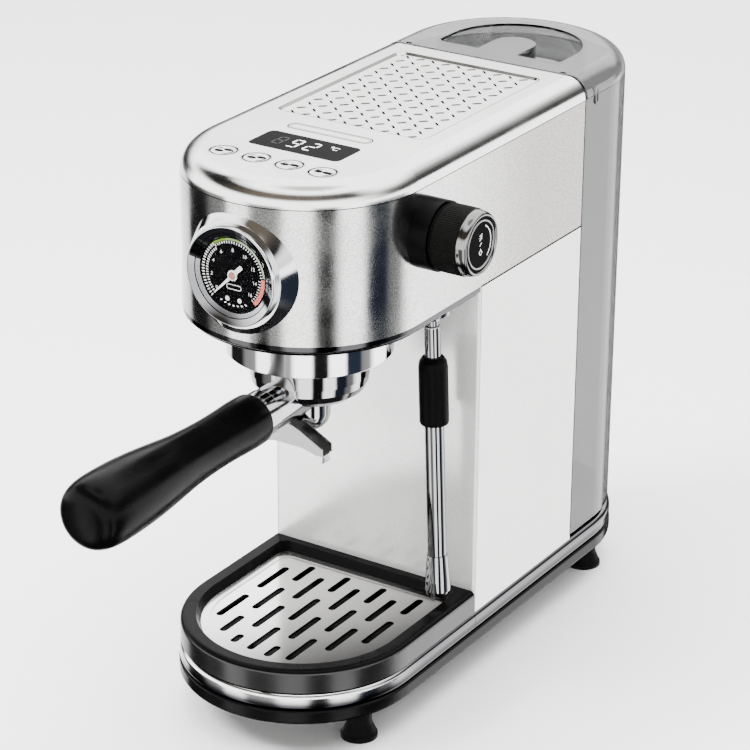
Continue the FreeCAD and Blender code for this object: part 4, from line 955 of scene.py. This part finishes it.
def make_floor():
    """Pale floor that curves up into a pale wall all round, far from the object."""
    rings = [(4.5, 0.0), (5.1, 0.06), (5.6, 0.25), (6.0, 0.6), (6.25, 1.1), (6.4, 1.8),
             (6.4, 3.0)]                # radius and height, in metres
    steps = 96
    turn = [2 * math.pi * k / steps for k in range(steps)]
    bm = bmesh.new()
    rows = [[bm.verts.new((r * math.cos(a), r * math.sin(a), z)) for a in turn]
            for r, z in rings]
    bm.faces.new(rows[0])
    for low, high in zip(rows, rows[1:]):
        for k in range(steps):
            m = (k + 1) % steps
            bm.faces.new((low[m], low[k], high[k], high[m])).smooth = True
    mesh = bpy.data.meshes.new("floor")
    bm.to_mesh(mesh)
    bm.free()
    floor = bpy.data.objects.new("floor", mesh)
    floor.visible_glossy = False
    bpy.context.scene.collection.objects.link(floor)
    floor.data.materials.append(plastic("floor_white", (0.93, 0.93, 0.93), 0.6, 300, 0.0,
                                        variation=0.01))


def ramp(tree, value, stops):
    """Colour ramp from (position, grey or colour) stops."""
    made = tree.nodes.new("ShaderNodeValToRGB")
    elements = made.color_ramp.elements
    while len(elements) < len(stops):
        elements.new(0.5)
    for element, (position, color) in zip(elements, stops):
        element.position = position
    for element, (position, color) in zip(elements, stops):
        element.color = (*color, 1) if isinstance(color, tuple) else (color, color, color, 1)
    tree.links.new(value, made.inputs["Fac"])
    return made.outputs["Color"]


def math_node(tree, operation, *values):
    """Result of a math node whose inputs are numbers or sockets."""
    made = tree.nodes.new("ShaderNodeMath")
    made.operation = operation
    for socket, value in zip(made.inputs, values):
        if isinstance(value, (int, float)):
            socket.default_value = value
        else:
            tree.links.new(value, socket)
    return made.outputs["Value"]


# Studio round the object: clock angle from the front in degrees, and how bright it is there.
PANELS = ((-180, 0.02), (-150, 0.02), (-144, 1.0), (-104, 0.5), (-98, 0.004), (-72, 0.004),
          (-63, 0.07), (-46, 0.09), (-41, 0.9), (-24, 0.9), (-19, 0.10), (7, 0.13), (14, 1.0),
          (35, 1.0), (40, 0.003), (58, 0.003), (63, 1.0), (82, 1.0),
          (87, (0.006, 0.008, 0.013)), (106, (0.006, 0.008, 0.013)), (111, 0.07), (123, 0.10),
          (134, 1.0), (168, 1.0), (176, 0.02), (180, 0.02))
LEVEL_RING = ((-180, 0.03), (-140, 0.02), (-120, 0.004), (-100, 0.004), (-88, 1.0),
              (150, 1.0), (160, 0.004), (180, 0.03))
# Dark bands higher up, in front and on the right: how strong each is, and their tone.
HIGH_BAND = ((-180, 0.0), (-118, 0.0), (-100, 1.0), (80, 1.0), (110, 0.0), (180, 0.0))
SIDE_BAND = ((-180, 0.0), (70, 0.0), (110, 1.0), (165, 1.0), (178, 0.0), (180, 0.0))
BAND_TONE = ((-180, 0.004), (-70, 0.004), (-20, (0.050, 0.042, 0.034)),
             (40, (0.050, 0.042, 0.034)), (75, 0.006), (115, 0.006), (140, 0.02), (180, 0.02))
# The same by height: elevation in degrees, and how strong each part is there.
LOW_PART = ((-9, 1.0), (-5, 0.0))
UNDER_PART = ((-58, 1.0), (-46, 0.0))
HIGH_PART = ((11, 0.0), (20, 1.0))
ZENITH_PART = ((72, 0.0), (80, 1.0))
BAND_PART = ((18, 0.0), (29, 1.0), (50, 1.0), (63, 0.0))
SIDE_PART = ((3, 0.0), (7, 1.0), (17, 1.0), (26, 0.9), (42, 0.0))
UNDER_TONE = (0.006, 0.006, 0.007, 1.0)
HIGH_TONE = (1.0, 1.0, 1.0, 1.0)
ZENITH_TONE = (0.30, 0.30, 0.30, 1.0)


def mix(tree, factor, a, b):
    """Blend from a to b, which are colours or sockets."""
    made = tree.nodes.new("ShaderNodeMix")
    made.data_type = "RGBA"
    tree.links.new(factor, made.inputs["Factor"])
    for socket, value in ((made.inputs[6], a), (made.inputs[7], b)):
        if isinstance(value, tuple):
            socket.default_value = value
        else:
            tree.links.new(value, socket)
    return made.outputs[2]


def make_world():
    """Soft studio surroundings, set by direction only."""
    world = bpy.data.worlds.new("studio")
    bpy.context.scene.world = world
    world.use_nodes = True
    tree = world.node_tree
    source = tree.nodes.new("ShaderNodeTexCoord")
    split = tree.nodes.new("ShaderNodeSeparateXYZ")
    tree.links.new(source.outputs["Generated"], split.inputs["Vector"])
    x, y, z = (split.outputs[k] for k in "XYZ")
    angle = math_node(tree, "ARCTAN2", x, math_node(tree, "MULTIPLY", y, -1.0))
    clock = math_node(tree, "MULTIPLY_ADD", angle, 1 / (2 * math.pi), 0.5)
    height = math_node(tree, "MULTIPLY_ADD", z, 0.5, 0.5)

    def round_about(stops):
        return ramp(tree, clock, [((a + 180) / 360, c) for a, c in stops])

    def by_height(stops):
        return ramp(tree, height, [(0.5 + 0.5 * math.sin(math.radians(e)), c)
                                   for e, c in stops])
    tone = round_about(BAND_TONE)
    high_band = math_node(tree, "MULTIPLY", by_height(BAND_PART), round_about(HIGH_BAND))
    side_band = math_node(tree, "MULTIPLY", by_height(SIDE_PART), round_about(SIDE_BAND))
    color = mix(tree, by_height(LOW_PART), round_about(LEVEL_RING), round_about(PANELS))
    color = mix(tree, by_height(UNDER_PART), color, UNDER_TONE)
    color = mix(tree, by_height(HIGH_PART), color, HIGH_TONE)
    color = mix(tree, high_band, color, tone)
    color = mix(tree, side_band, color, tone)
    color = mix(tree, by_height(ZENITH_PART), color, ZENITH_TONE)
    background = tree.nodes["Background"]
    tree.links.new(color, background.inputs["Color"])
    background.inputs["Strength"].default_value = WORLD_STRENGTH


make_camera()
make_floor()
make_world()
softbox("key", at(-900, -900, 1500), at(0, 60, 150), 0.7, 60)
softbox("top", at(0, 200, 1900), at(0, 80, 150), 1.6, 60)
